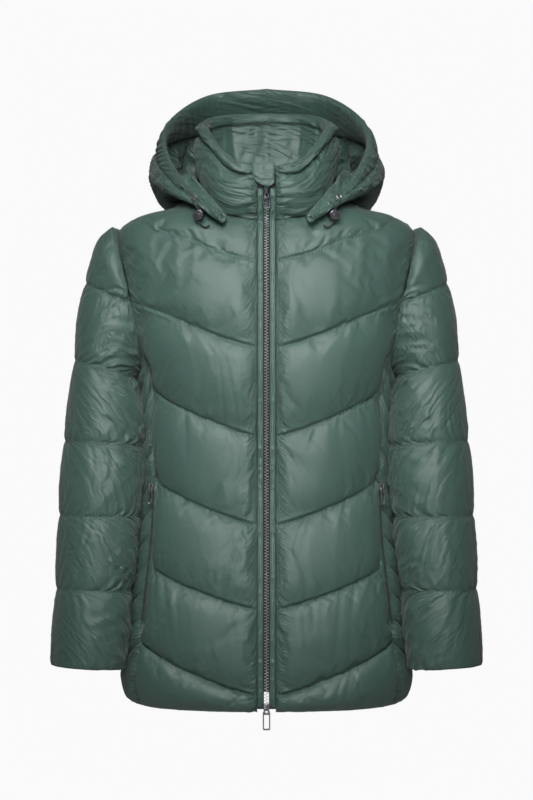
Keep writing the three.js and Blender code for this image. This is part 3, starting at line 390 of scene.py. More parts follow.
def hood_point(side: Array, share: Array) -> Array:
    """Points of the hood: side is 1 at the left front tip, 0 at the back and -1 at the right front tip,
    and share runs from the neck seam (0) to the edge of the face opening (1)."""
    side, share = np.broadcast_arrays(np.asarray(side, float), np.asarray(share, float))
    at = np.abs(side)
    knots = []
    for curves in hood_at:
        knot = np.stack([curve(at) for curve in curves], axis=-1)
        knot[..., 0] *= np.sign(side)
        knots.append(knot)
    knots = [2 * knots[0] - knots[1]] + knots + [2 * knots[-1] - knots[-2]]
    place = np.clip(share, 0, 1) * 4
    segment = np.minimum(np.floor(place).astype(int), 3)
    t = (place - segment)[..., None]
    result = np.zeros(side.shape + (3,))
    for s in range(4):
        p0, p1, p2, p3 = knots[s : s + 4]
        d0, d1, d2 = (np.maximum(np.linalg.norm(b - a, axis=-1, keepdims=True), 1e-6) ** 0.5
                      for a, b in ((p0, p1), (p1, p2), (p2, p3)))
        m1 = ((p1 - p0) / d0 - (p2 - p0) / (d0 + d1) + (p2 - p1) / d1) * d1
        m2 = ((p2 - p1) / d1 - (p3 - p1) / (d1 + d2) + (p3 - p2) / d2) * d1
        value = (
            (2 * t**3 - 3 * t**2 + 1) * p1
            + (t**3 - 2 * t**2 + t) * m1
            + (3 * t**2 - 2 * t**3) * p2
            + (t**3 - t**2) * m2
        )
        result = np.where((segment == s)[..., None], value, result)
    return result


# Meshes


def to_row(points: Array) -> Array:
    """Points of the cut's frame, in metres in the row frame."""
    return (points - NAPE) * MM


def linked(name: str, data: bpy.types.ID) -> bpy.types.Object:
    """A new object of the scene, at the origin, that holds a mesh, a curve, a lamp or a camera."""
    obj = bpy.data.objects.new(name, data)
    bpy.context.scene.collection.objects.link(obj)
    return obj


def mesh_of(name: str, solid: bmesh.types.BMesh) -> bpy.types.Mesh:
    """A mesh from a finished bmesh, which is freed."""
    mesh = bpy.data.meshes.new(name)
    solid.to_mesh(mesh)
    solid.free()
    return mesh


def smoothed(mesh: bpy.types.Mesh, sharp: Optional[float] = None) -> bpy.types.Mesh:
    """Shades a mesh smooth, with edges kept sharp from an angle in degrees."""
    mesh.polygons.foreach_set("use_smooth", [True] * len(mesh.polygons))
    if sharp is not None:
        mesh.set_sharp_from_angle(angle=math.radians(sharp))
    return mesh


def evaluated_mesh(obj: bpy.types.Object) -> bpy.types.Mesh:
    """The plain mesh that an object's modifiers make."""
    return bpy.data.meshes.new_from_object(obj.evaluated_get(bpy.context.evaluated_depsgraph_get()))


def make_object(name: str, points: Array, faces: Iterable[Sequence[int]]) -> bpy.types.Object:
    """A smooth mesh object from points in the cut's frame.

    Args:
        name: the piece's name.
        points: an array of points, in millimetres.
        faces: vertex indices of each face.

    Returns:
        The object, which stands at the origin.
    """
    mesh = bpy.data.meshes.new(name)
    mesh.from_pydata([tuple(p) for p in to_row(points.reshape(-1, 3))], [], [list(f) for f in faces])
    mesh.update()
    return linked(name, smoothed(mesh))


def grid_faces(rows: int, columns: int, closed: bool = False, start: int = 0) -> list[tuple[int, ...]]:
    """Quads of a grid whose columns run anticlockwise and whose rows run up, facing out."""
    faces = []
    spans = columns if closed else columns - 1
    for r in range(rows - 1):
        for c in range(spans):
            d = (c + 1) % columns
            faces.append((start + r * columns + c, start + r * columns + d,
                          start + (r + 1) * columns + d, start + (r + 1) * columns + c))
    return faces


def boundary(rows: int, columns: int, closed: bool) -> list[list[int]]:
    """Index loops round a grid: one loop round an open grid, or its bottom and top when it is closed."""
    index = np.arange(rows * columns).reshape(rows, columns)
    if closed:
        return [list(index[0]) + [index[0, 0]], list(index[-1][::-1]) + [index[-1, -1]]]
    loop = list(index[0]) + list(index[1:, -1]) + list(index[-1, -2::-1]) + list(index[-2::-1, 0])
    return [loop]


def shell_mesh(name: str, outer: Array, inner: Array, closed: bool) -> bpy.types.Object:
    """A closed wall between a fine outer grid and an inner grid with half its steps.

    Args:
        name: the piece's name.
        outer: outer points, with an odd number of rows, and of columns unless it is closed.
        inner: inner points, one for every second outer point each way.
        closed: whether the last column joins the first.

    Returns:
        The object.
    """
    rows, columns = outer.shape[:2]
    inner_rows, inner_columns = inner.shape[:2]
    start = rows * columns
    faces = grid_faces(rows, columns, closed)
    faces += [face[::-1] for face in grid_faces(inner_rows, inner_columns, closed, start)]
    outer_loops, inner_loops = boundary(rows, columns, closed), boundary(inner_rows, inner_columns, closed)
    for outer_loop, inner_loop in zip(outer_loops, inner_loops):
        for i in range(len(inner_loop) - 1):
            a, b, c = outer_loop[2 * i : 2 * i + 3]
            p, q = start + inner_loop[i], start + inner_loop[i + 1]
            faces += [(b, a, p), (b, p, q), (c, b, q)]
    return make_object(name, np.concatenate([outer.reshape(-1, 3), inner.reshape(-1, 3)]), faces)


def turned(name: str, profile: Sequence[tuple[float, float]], sides: int, foot: Array,
           axis: Array) -> bpy.types.Object:
    """A solid turned on an axis.

    Args:
        name: the piece's name.
        profile: rows of radius and distance along the axis; it closes on itself unless it ends on the axis.
        sides: how many flats it has round the axis.
        foot: where the axis starts, in the cut's frame.
        axis: which way it runs.

    Returns:
        The object.
    """
    w = axis / np.linalg.norm(axis)
    u = unit(np.cross(w, [0.0, 0.6, 0.8]))
    v = np.cross(w, u)
    turns = 2 * np.pi * np.arange(sides) / sides
    solid = bmesh.new()
    rings = []
    for radius, along in profile:
        count = 1 if radius == 0 else sides
        spokes = [u * np.cos(a) + v * np.sin(a) for a in turns[:count]]
        rings.append([solid.verts.new(to_row(foot + w * along + spoke * radius)) for spoke in spokes])
    pairs = list(zip(rings, rings[1:]))
    if len(rings[0]) > 1 and len(rings[-1]) > 1:
        pairs.append((rings[-1], rings[0]))
    for low, high in pairs:
        for i in range(sides):
            j = (i + 1) % sides
            corners = [low[i % len(low)], low[j % len(low)], high[j % len(high)], high[i % len(high)]]
            solid.faces.new(list(dict.fromkeys(corners)))
    bmesh.ops.recalc_face_normals(solid, faces=solid.faces)
    return linked(name, smoothed(mesh_of(name, solid), 35))


def repeat_nodes() -> bpy.types.NodeTree:
    """Geometry nodes that stand copies of an item along lines, upright on the lines' out direction."""
    tree = bpy.data.node_groups.new("repeat_along", "GeometryNodeTree")
    tree.interface.new_socket("Geometry", in_out="OUTPUT", socket_type="NodeSocketGeometry")
    kinds = {"Geometry": "Geometry", "Item": "Object", "Pitch": "Float", "Finish": "Material"}
    for label, kind in kinds.items():
        tree.interface.new_socket(label, in_out="INPUT", socket_type="NodeSocket" + kind)
    given = node(tree, "NodeGroupInput").outputs
    line = node(tree, "GeometryNodeMeshToCurve", Mesh=given["Geometry"])
    even = node(tree, "GeometryNodeResampleCurve", {"mode": "LENGTH"}, Curve=line.outputs["Curve"],
                Length=given["Pitch"])
    item = node(tree, "GeometryNodeObjectInfo", Object=given["Item"])
    out = node(tree, "GeometryNodeInputNamedAttribute", {"data_type": "FLOAT_VECTOR"}, Name="out")
    run = node(tree, "GeometryNodeInputTangent")
    along = node(tree, "FunctionNodeAlignRotationToVector", {"axis": "X"}, Vector=run.outputs["Tangent"])
    upright = node(tree, "FunctionNodeAlignRotationToVector", {"axis": "Z", "pivot_axis": "X"},
                   Rotation=along.outputs["Rotation"], Vector=out.outputs["Attribute"])
    copies = node(tree, "GeometryNodeInstanceOnPoints", Points=even.outputs["Curve"],
                  Instance=item.outputs["Geometry"], Rotation=upright.outputs["Rotation"])
    real = node(tree, "GeometryNodeRealizeInstances", Geometry=copies.outputs["Instances"])
    finished = node(tree, "GeometryNodeSetMaterial", Geometry=real.outputs["Geometry"],
                    Material=given["Finish"])
    node(tree, "NodeGroupOutput", Geometry=finished.outputs["Geometry"])
    return tree


def repeat_along(name: str, lines: Sequence[tuple[Array, Array]], item: bpy.types.Object, pitch: float,
                 finish: bpy.types.Material) -> bpy.types.Object:
    """Copies of an item along lines, as one mesh.

    Args:
        name: the piece's name.
        lines: points and out directions of each line, in the cut's frame.
        item: what is repeated; its X axis runs along the line and its Z axis points out.
        pitch: millimetres from one copy to the next.
        finish: the copies' material.

    Returns:
        The object.
    """
    points = np.concatenate([line for line, _ in lines])
    outs = np.concatenate([np.broadcast_to(out, line.shape) for line, out in lines])
    edges, start = [], 0
    for line, _ in lines:
        edges += [(i, i + 1) for i in range(start, start + len(line) - 1)]
        start += len(line)
    mesh = bpy.data.meshes.new(name + "_lines")
    mesh.from_pydata(to_row(points).tolist(), edges, [])
    upward = mesh.attributes.new("out", "FLOAT_VECTOR", "POINT")
    upward.data.foreach_set("vector", outs.astype(np.float32).ravel())
    obj = linked(name, mesh)
    tree = bpy.data.node_groups.get("repeat_along") or repeat_nodes()
    modifier = obj.modifiers.new("repeat", "NODES")
    modifier.node_group = tree
    values = {"Item": item, "Pitch": pitch * MM, "Finish": finish}
    for socket in tree.interface.items_tree:
        if socket.in_out == "INPUT" and socket.name in values:
            modifier[socket.identifier] = values[socket.name]
    obj.update_tag()
    baked = evaluated_mesh(obj)
    obj.modifiers.clear()
    obj.data = baked
    baked.name = name
    LOG.info("%s: %d faces", name, len(baked.polygons))
    return obj


def refine(points: Array, axis: int, breaks: Sequence[int], closed: bool = False) -> Array:
    """Doubles a grid's steps along one axis with a smooth curve, kept sharp at the breaks.

    Args:
        points: the grid.
        axis: 0 for rows or 1 for columns.
        breaks: the positions where the curve may turn sharply.
        closed: whether the axis joins its own start.

    Returns:
        The finer grid.
    """
    p = np.moveaxis(points, axis, 0)
    n = len(p)
    if closed:
        middle = (-np.roll(p, 1, 0) + 9 * p + 9 * np.roll(p, -1, 0) - np.roll(p, -2, 0)) / 16
        fine = np.stack([p, middle], 1).reshape((2 * n,) + p.shape[1:])
        return np.moveaxis(fine, 0, axis)
    stops = {0, n - 1} | set(breaks)
    fine = np.zeros((2 * n - 1,) + p.shape[1:])
    fine[::2] = p
    for i in range(n - 1):
        before = 2 * p[i] - p[i + 1] if i in stops else p[i - 1]
        after = 2 * p[i + 1] - p[i] if i + 1 in stops else p[i + 2]
        fine[2 * i + 1] = (-before + 9 * p[i] + 9 * p[i + 1] - after) / 16
    return np.moveaxis(fine, 0, axis)


def gathers(along: Array, distance: Array, seed: int, spacing: float, reach: float, depth: float) -> Array:
    """Small folds that run out from a seam, uneven in length, lean and depth.

    Args:
        along: millimetres along the seam.
        distance: millimetres from it, negative on its other side.
        seed: picks the pattern.
        spacing: millimetres between folds.
        reach: how far they run out.
        depth: the deepest one, in millimetres.

    Returns:
        The lowering of the surface, in millimetres.
    """
    away = np.abs(distance)
    side = np.where(distance < 0, 70.0, 0.0)
    lean = 1.1 * (noise(along / 45 + side, 0.5, seed + 3) - 0.5)
    at = along + lean * away + side
    lane = at / spacing + 1.6 * noise(at / 33, 0.3, seed)
    strength = noise(at / 26, 7.5, seed + 1) ** 2
    local = reach * (0.4 + 1.2 * noise(at / spacing / 1.7, 3.1, seed + 2))
    valley = (0.5 + 0.5 * np.cos(2 * np.pi * lane)) ** 2
    return -depth * (0.2 + 1.4 * strength) * valley * np.exp(-((away / local) ** 1.6)) * ease(away, 0, 2.5)


def folds(x: Array, y: Array, seed: int, long: float, short: float, lean: float = 0) -> Array:
    """Soft folds with crisp crests that run one way, from 0 between them to 1 on a crest.

    Args:
        x: millimetres the way that the folds run.
        y: millimetres across them.
        seed: picks the pattern.
        long: how long a fold is.
        short: how far apart they lie.
        lean: degrees from x to the folds.

    Returns:
        The height of the folds.
    """
    turn = math.radians(lean)
    a, b = x * math.cos(turn) + y * math.sin(turn), y * math.cos(turn) - x * math.sin(turn)
    b = b + 1.3 * short * (noise(a / (0.6 * long), b / (2.5 * short), seed + 1) - 0.5)
    return (1 - np.abs(2 * noise(a / long, b / short, seed) - 1)) ** 2.5


# Finishes


def linear(colour: str) -> tuple[float, float, float, float]:
    """An sRGB hex colour as linear RGBA."""
    channels = [int(colour[i : i + 2], 16) / 255 for i in (1, 3, 5)]
    return tuple(c / 12.92 if c <= 0.04045 else ((c + 0.055) / 1.055) ** 2.4 for c in channels) + (1.0,)


def plug(made: bpy.types.Node, **inputs) -> bpy.types.Node:
    """Sets or links a node's inputs.

    Args:
        made: the node.
        inputs: values, or sockets to link, by input name with underscores for spaces, or by its index after
            one underscore.

    Returns:
        The node.
    """
    for name, value in inputs.items():
        socket = made.inputs[int(name[1:]) if name[1:].isdigit() else name.replace("_", " ")]
        if isinstance(value, bpy.types.NodeSocket):
            made.id_data.links.new(value, socket)
        else:
            socket.default_value = value
    return made


def node(tree: bpy.types.NodeTree, kind: str, settings: Optional[dict] = None, **inputs) -> bpy.types.Node:
    """Adds a node with its settings and inputs.

    Args:
        tree: the node tree.
        kind: the node's type name.
        settings: properties to set on it.
        inputs: what goes into it, as plug takes it.

    Returns:
        The node.
    """
    made = tree.nodes.new(kind)
    for name, value in (settings or {}).items():
        setattr(made, name, value)
    return plug(made, **inputs)


def blank_material(
    name: str,
) -> tuple[bpy.types.Material, bpy.types.NodeTree, bpy.types.Node, bpy.types.NodeSocket]:
    """A new material, with its tree, its shader and the place on the object in metres."""
    material = bpy.data.materials.new(name)
    material.use_nodes = True
    tree = material.node_tree
    return material, tree, tree.nodes["Principled BSDF"], node(tree, "ShaderNodeTexCoord").outputs["Object"]


@dataclass(frozen=True)
class SatinNylon:
    """Calendered nylon taffeta: a smooth satin sheen on a tight weave that crinkles finely."""

    name: str = "satin_nylon"
    colour: str = "#344F47"
    shade: str = "#304A42"
    roughness: float = 0.56
    gather_mm: float = 6.0
    crinkle_mm: float = 11.0
    weave_mm: float = 0.9
    fold_length: float = 8.0
    bank_width: float = 0.2

    def build(self) -> bpy.types.Material:
        """Makes the material."""
        material, tree, shader, place = blank_material(self.name)
        # Dye lots and handling leave the green slightly uneven over a hand's width
        cloud = node(tree, "ShaderNodeTexNoise", Vector=place, Scale=9.0, Detail=2.0)
        tint = node(tree, "ShaderNodeMix", {"data_type": "RGBA"}, Factor=cloud.outputs["Fac"],
                    _6=linear(self.colour), _7=linear(self.shade))
        cloth, seams, creased = (
            node(tree, "ShaderNodeAttribute", {"attribute_name": name}).outputs["Vector"]
            for name in ("cloth", "seams", "creased")
        )
        near = node(tree, "ShaderNodeSeparateXYZ", Vector=seams).outputs
        # Needle gathers: short creases that leave each seam at right angles and soon die out
        fine, long = 1000 / self.gather_mm, 1000 / (self.fold_length * self.gather_mm)
        heights = []
        gathers = ((near["X"], (fine, fine, long), 0.012), (near["Y"], (long, long, fine), 0.03))
        for distance, scale, reach in gathers:
            fade = node(tree, "ShaderNodeMapRange", {"interpolation_type": "SMOOTHSTEP"}, Value=distance,
                        From_Max=reach, To_Min=1.0, To_Max=0.0)
            heights.append(self.valleys(tree, cloth, scale, fade.outputs["Result"]))
        # Slack cloth falls into long rounded folds, with finer ones in patches between them
        weight = node(tree, "ShaderNodeSeparateXYZ", Vector=creased).outputs["Z"]
        patches = node(tree, "ShaderNodeTexNoise", Vector=place, Scale=16.0, Detail=1.0)
        patch = node(tree, "ShaderNodeMapRange", Value=patches.outputs["Fac"], From_Min=0.36, From_Max=0.62)
        patchy = node(tree, "ShaderNodeMath", {"operation": "MULTIPLY"}, _0=patch.outputs["Result"],
                      _1=weight)
        for angle, across, amount in ((0.1, 8.0, patchy.outputs["Value"]), (-0.28, 17.0, weight)):
            leaning = node(tree, "ShaderNodeVectorRotate", {"rotation_type": "Z_AXIS"}, Vector=creased,
                           Angle=angle)
            scale = (1000 / (self.fold_length * across), 1000 / across, 0.0)
            heights.append(self.valleys(tree, leaning.outputs["Vector"], scale, amount))
        # Soft crinkles of thin cloth over its wadding
        crinkle = node(tree, "ShaderNodeTexNoise", Vector=place, Scale=1000 / self.crinkle_mm, Detail=2.0,
                       Roughness=0.45, Distortion=0.4)
        # The weave, drawn at twice its real pitch so that it shows as a slight grain
        weave = node(tree, "ShaderNodeTexNoise", Vector=place, Scale=1000 / self.weave_mm, Detail=1.0)
        heights += [crinkle.outputs["Fac"], weave.outputs["Fac"]]
        depths = [(0.8, 0.0009), (0.9, 0.0013), (0.8, 0.0011), (0.8, 0.0019), (0.12, 0.0012), (0.08, 0.0002)]
        bump = None
        for height, (strength, distance) in zip(heights, depths):
            below = {} if bump is None else {"Normal": bump.outputs["Normal"]}
            bump = node(tree, "ShaderNodeBump", Height=height, Strength=strength, Distance=distance, **below)
        # A soft sheen and a broad, low gloss give the satin its wide pale lights
        plug(shader, Base_Color=tint.outputs[2], Normal=bump.outputs["Normal"], Roughness=self.roughness,
             Specular_IOR_Level=0.6, Sheen_Weight=0.1, Sheen_Roughness=0.5)
        return material

    def valleys(self, tree: bpy.types.NodeTree, place: bpy.types.NodeSocket, scale: tuple[float, float, float],
                weight: bpy.types.NodeSocket) -> bpy.types.NodeSocket:
        """A height with valleys that run the way that the scale is smallest, times a weight."""
        stretched = node(tree, "ShaderNodeVectorMath", {"operation": "MULTIPLY"}, _0=place, _1=scale)
        cells = node(tree, "ShaderNodeTexNoise", Vector=stretched.outputs["Vector"], Scale=1.0, Detail=1.0)
        signed = node(tree, "ShaderNodeMath", {"operation": "SUBTRACT"}, _0=cells.outputs["Fac"], _1=0.5)
        away = node(tree, "ShaderNodeMath", {"operation": "ABSOLUTE"}, _0=signed.outputs["Value"])
        bank = node(tree, "ShaderNodeMapRange", {"interpolation_type": "SMOOTHERSTEP"},
                    Value=away.outputs["Value"], From_Max=self.bank_width)
        height = node(tree, "ShaderNodeMath", {"operation": "MULTIPLY"}, _0=bank.outputs["Result"], _1=weight)
        return height.outputs["Value"]


@dataclass(frozen=True)
class WovenTape:
    """Polyester herringbone tape or braided cord cover: matt black, with a fine rib."""

    name: str
    colour: str = "#15171A"
    roughness: float = 0.78
    rib_mm: float = 1.4

    def build(self) -> bpy.types.Material:
        """Makes the material."""
        material, tree, shader, place = blank_material(self.name)
        rib = node(tree, "ShaderNodeTexWave", {"bands_direction": "DIAGONAL"}, Vector=place,
                   Scale=1000 / self.rib_mm / 20, Distortion=0.4)
        bump = node(tree, "ShaderNodeBump", Height=rib.outputs["Fac"], Strength=0.5, Distance=0.0003)
        plug(shader, Normal=bump.outputs["Normal"], Base_Color=linear(self.colour), Roughness=self.roughness,
             Sheen_Weight=0.2)
        return material


@dataclass(frozen=True)
class PlatedZinc:
    """Die-cast zinc with a polished dark plating, slightly worn to a soft gleam."""

    name: str
    colour: str
    roughness: float

    def build(self) -> bpy.types.Material:
        """Makes the material."""
        material, tree, shader, place = blank_material(self.name)
        # Handling leaves the gleam uneven at the scale of a fingertip
        wear = node(tree, "ShaderNodeTexNoise", Vector=place, Scale=700.0, Detail=2.0)
        gleam = node(tree, "ShaderNodeMapRange", Value=wear.outputs["Fac"], To_Min=self.roughness * 0.7,
                     To_Max=self.roughness * 1.4)
        plug(shader, Roughness=gleam.outputs["Result"], Base_Color=linear(self.colour), Metallic=1.0)
        return material


@dataclass(frozen=True)
class SewingThread:
    """Twisted polyester thread, dyed to the shell and a little lighter where it catches the light."""

    name: str = "sewing_thread"
    colour: str = "#3E6B60"

    def build(self) -> bpy.types.Material:
        """Makes the material."""
        material, tree, shader, place = blank_material(self.name)
        twist = node(tree, "ShaderNodeTexWave", Vector=place, Scale=90.0)
        bump = node(tree, "ShaderNodeBump", Height=twist.outputs["Fac"], Strength=0.3, Distance=0.0001)
        plug(shader, Normal=bump.outputs["Normal"], Base_Color=linear(self.colour), Roughness=0.5)
        return material


# Quilted pieces


@dataclass
class QuiltedPiece:
    """A stuffed wall of cloth with an outer grid of points that is simulated and refined."""

    name: str
    nodes: tuple[str, ...]
    base: Array
    out: Array
    loft: Array
    row_seams: list[int]
    flat: tuple[float, float]
    area: float
    closed: bool = False
    growth: float = 0.03
    cap: float = 6.0
    mirrored: bool = False
    inner_loft: Optional[Array] = None
    creases: Optional[Callable[[Array], Array]] = None
    slack: Optional[Callable[[Array, Array, Array], Array]] = None
    lean: float = 0.0
    held: str = "hung"
    outer: Array = field(init=False)
    fine: Array = field(init=False, default=None)
    cloth: Optional[bpy.types.Object] = field(init=False, default=None)

    def __post_init__(self) -> None:
        """Stands the outer points off the seam surface."""
        self.outer = self.base + self.out * (HALF_WALL + self.loft)[..., None]

    def start_cloth(self) -> None:
        """Adds the outer skin to the scene as cloth, pinned along its seams, with slack to gather."""
        rows, columns = self.outer.shape[:2]
        self.cloth = make_object(self.name + "_cloth", self.outer, grid_faces(rows, columns, self.closed))
        pinned = np.zeros((rows, columns), bool)
        pinned[[0, -1]] = True
        pinned[self.row_seams] = True
        if not self.closed:
            pinned[:, [0, -1]] = True
        group = self.cloth.vertex_groups.new(name="seams")
        group.add([int(i) for i in np.flatnonzero(pinned)], 1.0, "REPLACE")
        cloth = self.cloth.modifiers.new("cloth", "CLOTH")
        values = {
            "vertex_group_mass": "seams", "quality": 4, "mass": 0.12, "tension_stiffness": 12,
            "compression_stiffness": 12, "shear_stiffness": 6, "bending_stiffness": 0.04,
            "tension_damping": 8, "compression_damping": 8, "shear_damping": 8, "air_damping": 3,
            "use_pressure": True, "uniform_pressure_force": 2.2,
            "shrink_min": -self.growth, "shrink_max": -self.growth,
        }
        for name, value in values.items():
            setattr(cloth.settings, name, value)
        cloth.settings.effector_weights.gravity = 0
        cloth.collision_settings.use_collision = False
        cloth.collision_settings.use_self_collision = False
        cloth.point_cache.frame_start = 1
        cloth.point_cache.frame_end = SIMULATED_FRAMES

    def take_cloth(self, graph: bpy.types.Depsgraph) -> None:
        """Reads the settled skin back, with each point's move held to the cap."""
        mesh = self.cloth.evaluated_get(graph).to_mesh()
        settled = np.zeros(len(mesh.vertices) * 3, np.float32)
        mesh.vertices.foreach_get("co", settled)
        settled = settled.reshape(self.outer.shape).astype(float) / MM + NAPE
        self.cloth.evaluated_get(graph).to_mesh_clear()
        move = settled - self.outer
        length = np.linalg.norm(move, axis=2, keepdims=True)
        if not np.isfinite(length).all():
            LOG.warning("%s: the cloth did not settle", self.name)
        else:
            kept = self.cap * np.tanh(length / self.cap) / np.maximum(length, 1e-9)
            self.outer = self.outer + move * kept
            LOG.info("%s: cloth moved %.1f mm at most", self.name, length.max())
        data = self.cloth.data
        bpy.data.objects.remove(self.cloth)
        bpy.data.meshes.remove(data)

    def finish(self, material: bpy.types.Material) -> bpy.types.Object:
        """Refines the skin, closes it over its inner wall and places it on the frame.

        Args:
            material: the shell's finish.

        Returns:
            The finished piece.
        """
        fine = refine(self.outer, 0, self.row_seams)
        fine = refine(fine, 1, (), self.closed)
        if self.creases is not None:
            fine = fine + normals(fine, self.closed) * self.creases(fine)[..., None]
        self.fine = fine
        along, up = lengths(fine, 1), lengths(fine, 0)
        stitched = [0, len(up) - 1] + [2 * seam for seam in self.row_seams]
        from_rows = np.min([np.abs(up - up[row]) for row in stitched], axis=0)
        if self.closed:
            radius = along[:, -1:] / (2 * np.pi)
            cloth = np.stack([radius * np.cos(along / radius), radius * np.sin(along / radius), up], axis=-1)
            from_ends = np.full_like(along, 50.0)
        else:
            cloth = np.stack([along, 0 * along, up], axis=-1)
            from_ends = np.minimum(along, along[:, -1:] - along)
        seams = np.stack([from_rows, from_ends, 0 * from_rows], axis=-1)
        weight = np.full(along.shape, 0.3) if self.slack is None else self.slack(along, from_rows, from_ends)
        lean = math.radians(self.lean)
        run = along * math.cos(lean) + up * math.sin(lean)
        across = up * math.cos(lean) - along * math.sin(lean)
        creased = np.stack([run, across, weight / MM], axis=-1)
        inset = HALF_WALL if self.inner_loft is None else (HALF_WALL + self.inner_loft)[..., None]
        inner = self.base - self.out * inset
        if self.mirrored:
            fine, inner = fine[:, ::-1] * MIRROR, inner[:, ::-1] * MIRROR
            cloth, seams, creased = cloth[:, ::-1], seams[:, ::-1], creased[:, ::-1]
        piece = shell_mesh(self.name, fine, inner, self.closed)
        for name, values in (("cloth", cloth), ("seams", seams), ("creased", creased)):
            backed = values[::2, ::2] + np.array([0.0, 9.0, 0.0]) * (name == "cloth")
            both = np.concatenate([values.reshape(-1, 3), backed.reshape(-1, 3)]) * MM
            attribute = piece.data.attributes.new(name, "FLOAT_VECTOR", "POINT")
            attribute.data.foreach_set("vector", both.astype(np.float32).ravel())
        piece.data.materials.append(material)
        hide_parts(*self.nodes)
        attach(piece, JACKET)
        LOG.info("%s: %d faces", self.name, len(piece.data.polygons))
        return piece


def channel_rows(steps: Sequence[int]) -> tuple[Array, list[int]]:
    """Row places through channels with a number of steps each, and the indices of the seams between them."""
    rows, seams = [0.0], []
    for channel, count in enumerate(steps):
        # Rows crowd towards the seams, where the cloth turns most
        shares = 0.5 - 0.5 * np.cos(np.pi * np.arange(1, count + 1) / count)
        even = np.arange(1, count + 1) / count
        rows += list(channel + mix(even, shares, 0.35))
        seams.append(len(rows) - 1)
    return np.array(rows), seams[:-1]


def pocket_reach(height: Array) -> Array:
    """1 beside the pocket and 0 away from it, for the flat strip that its welt and zip lie on."""
    return ease(height, 102, 118) * (1 - ease(height, 324, 336))


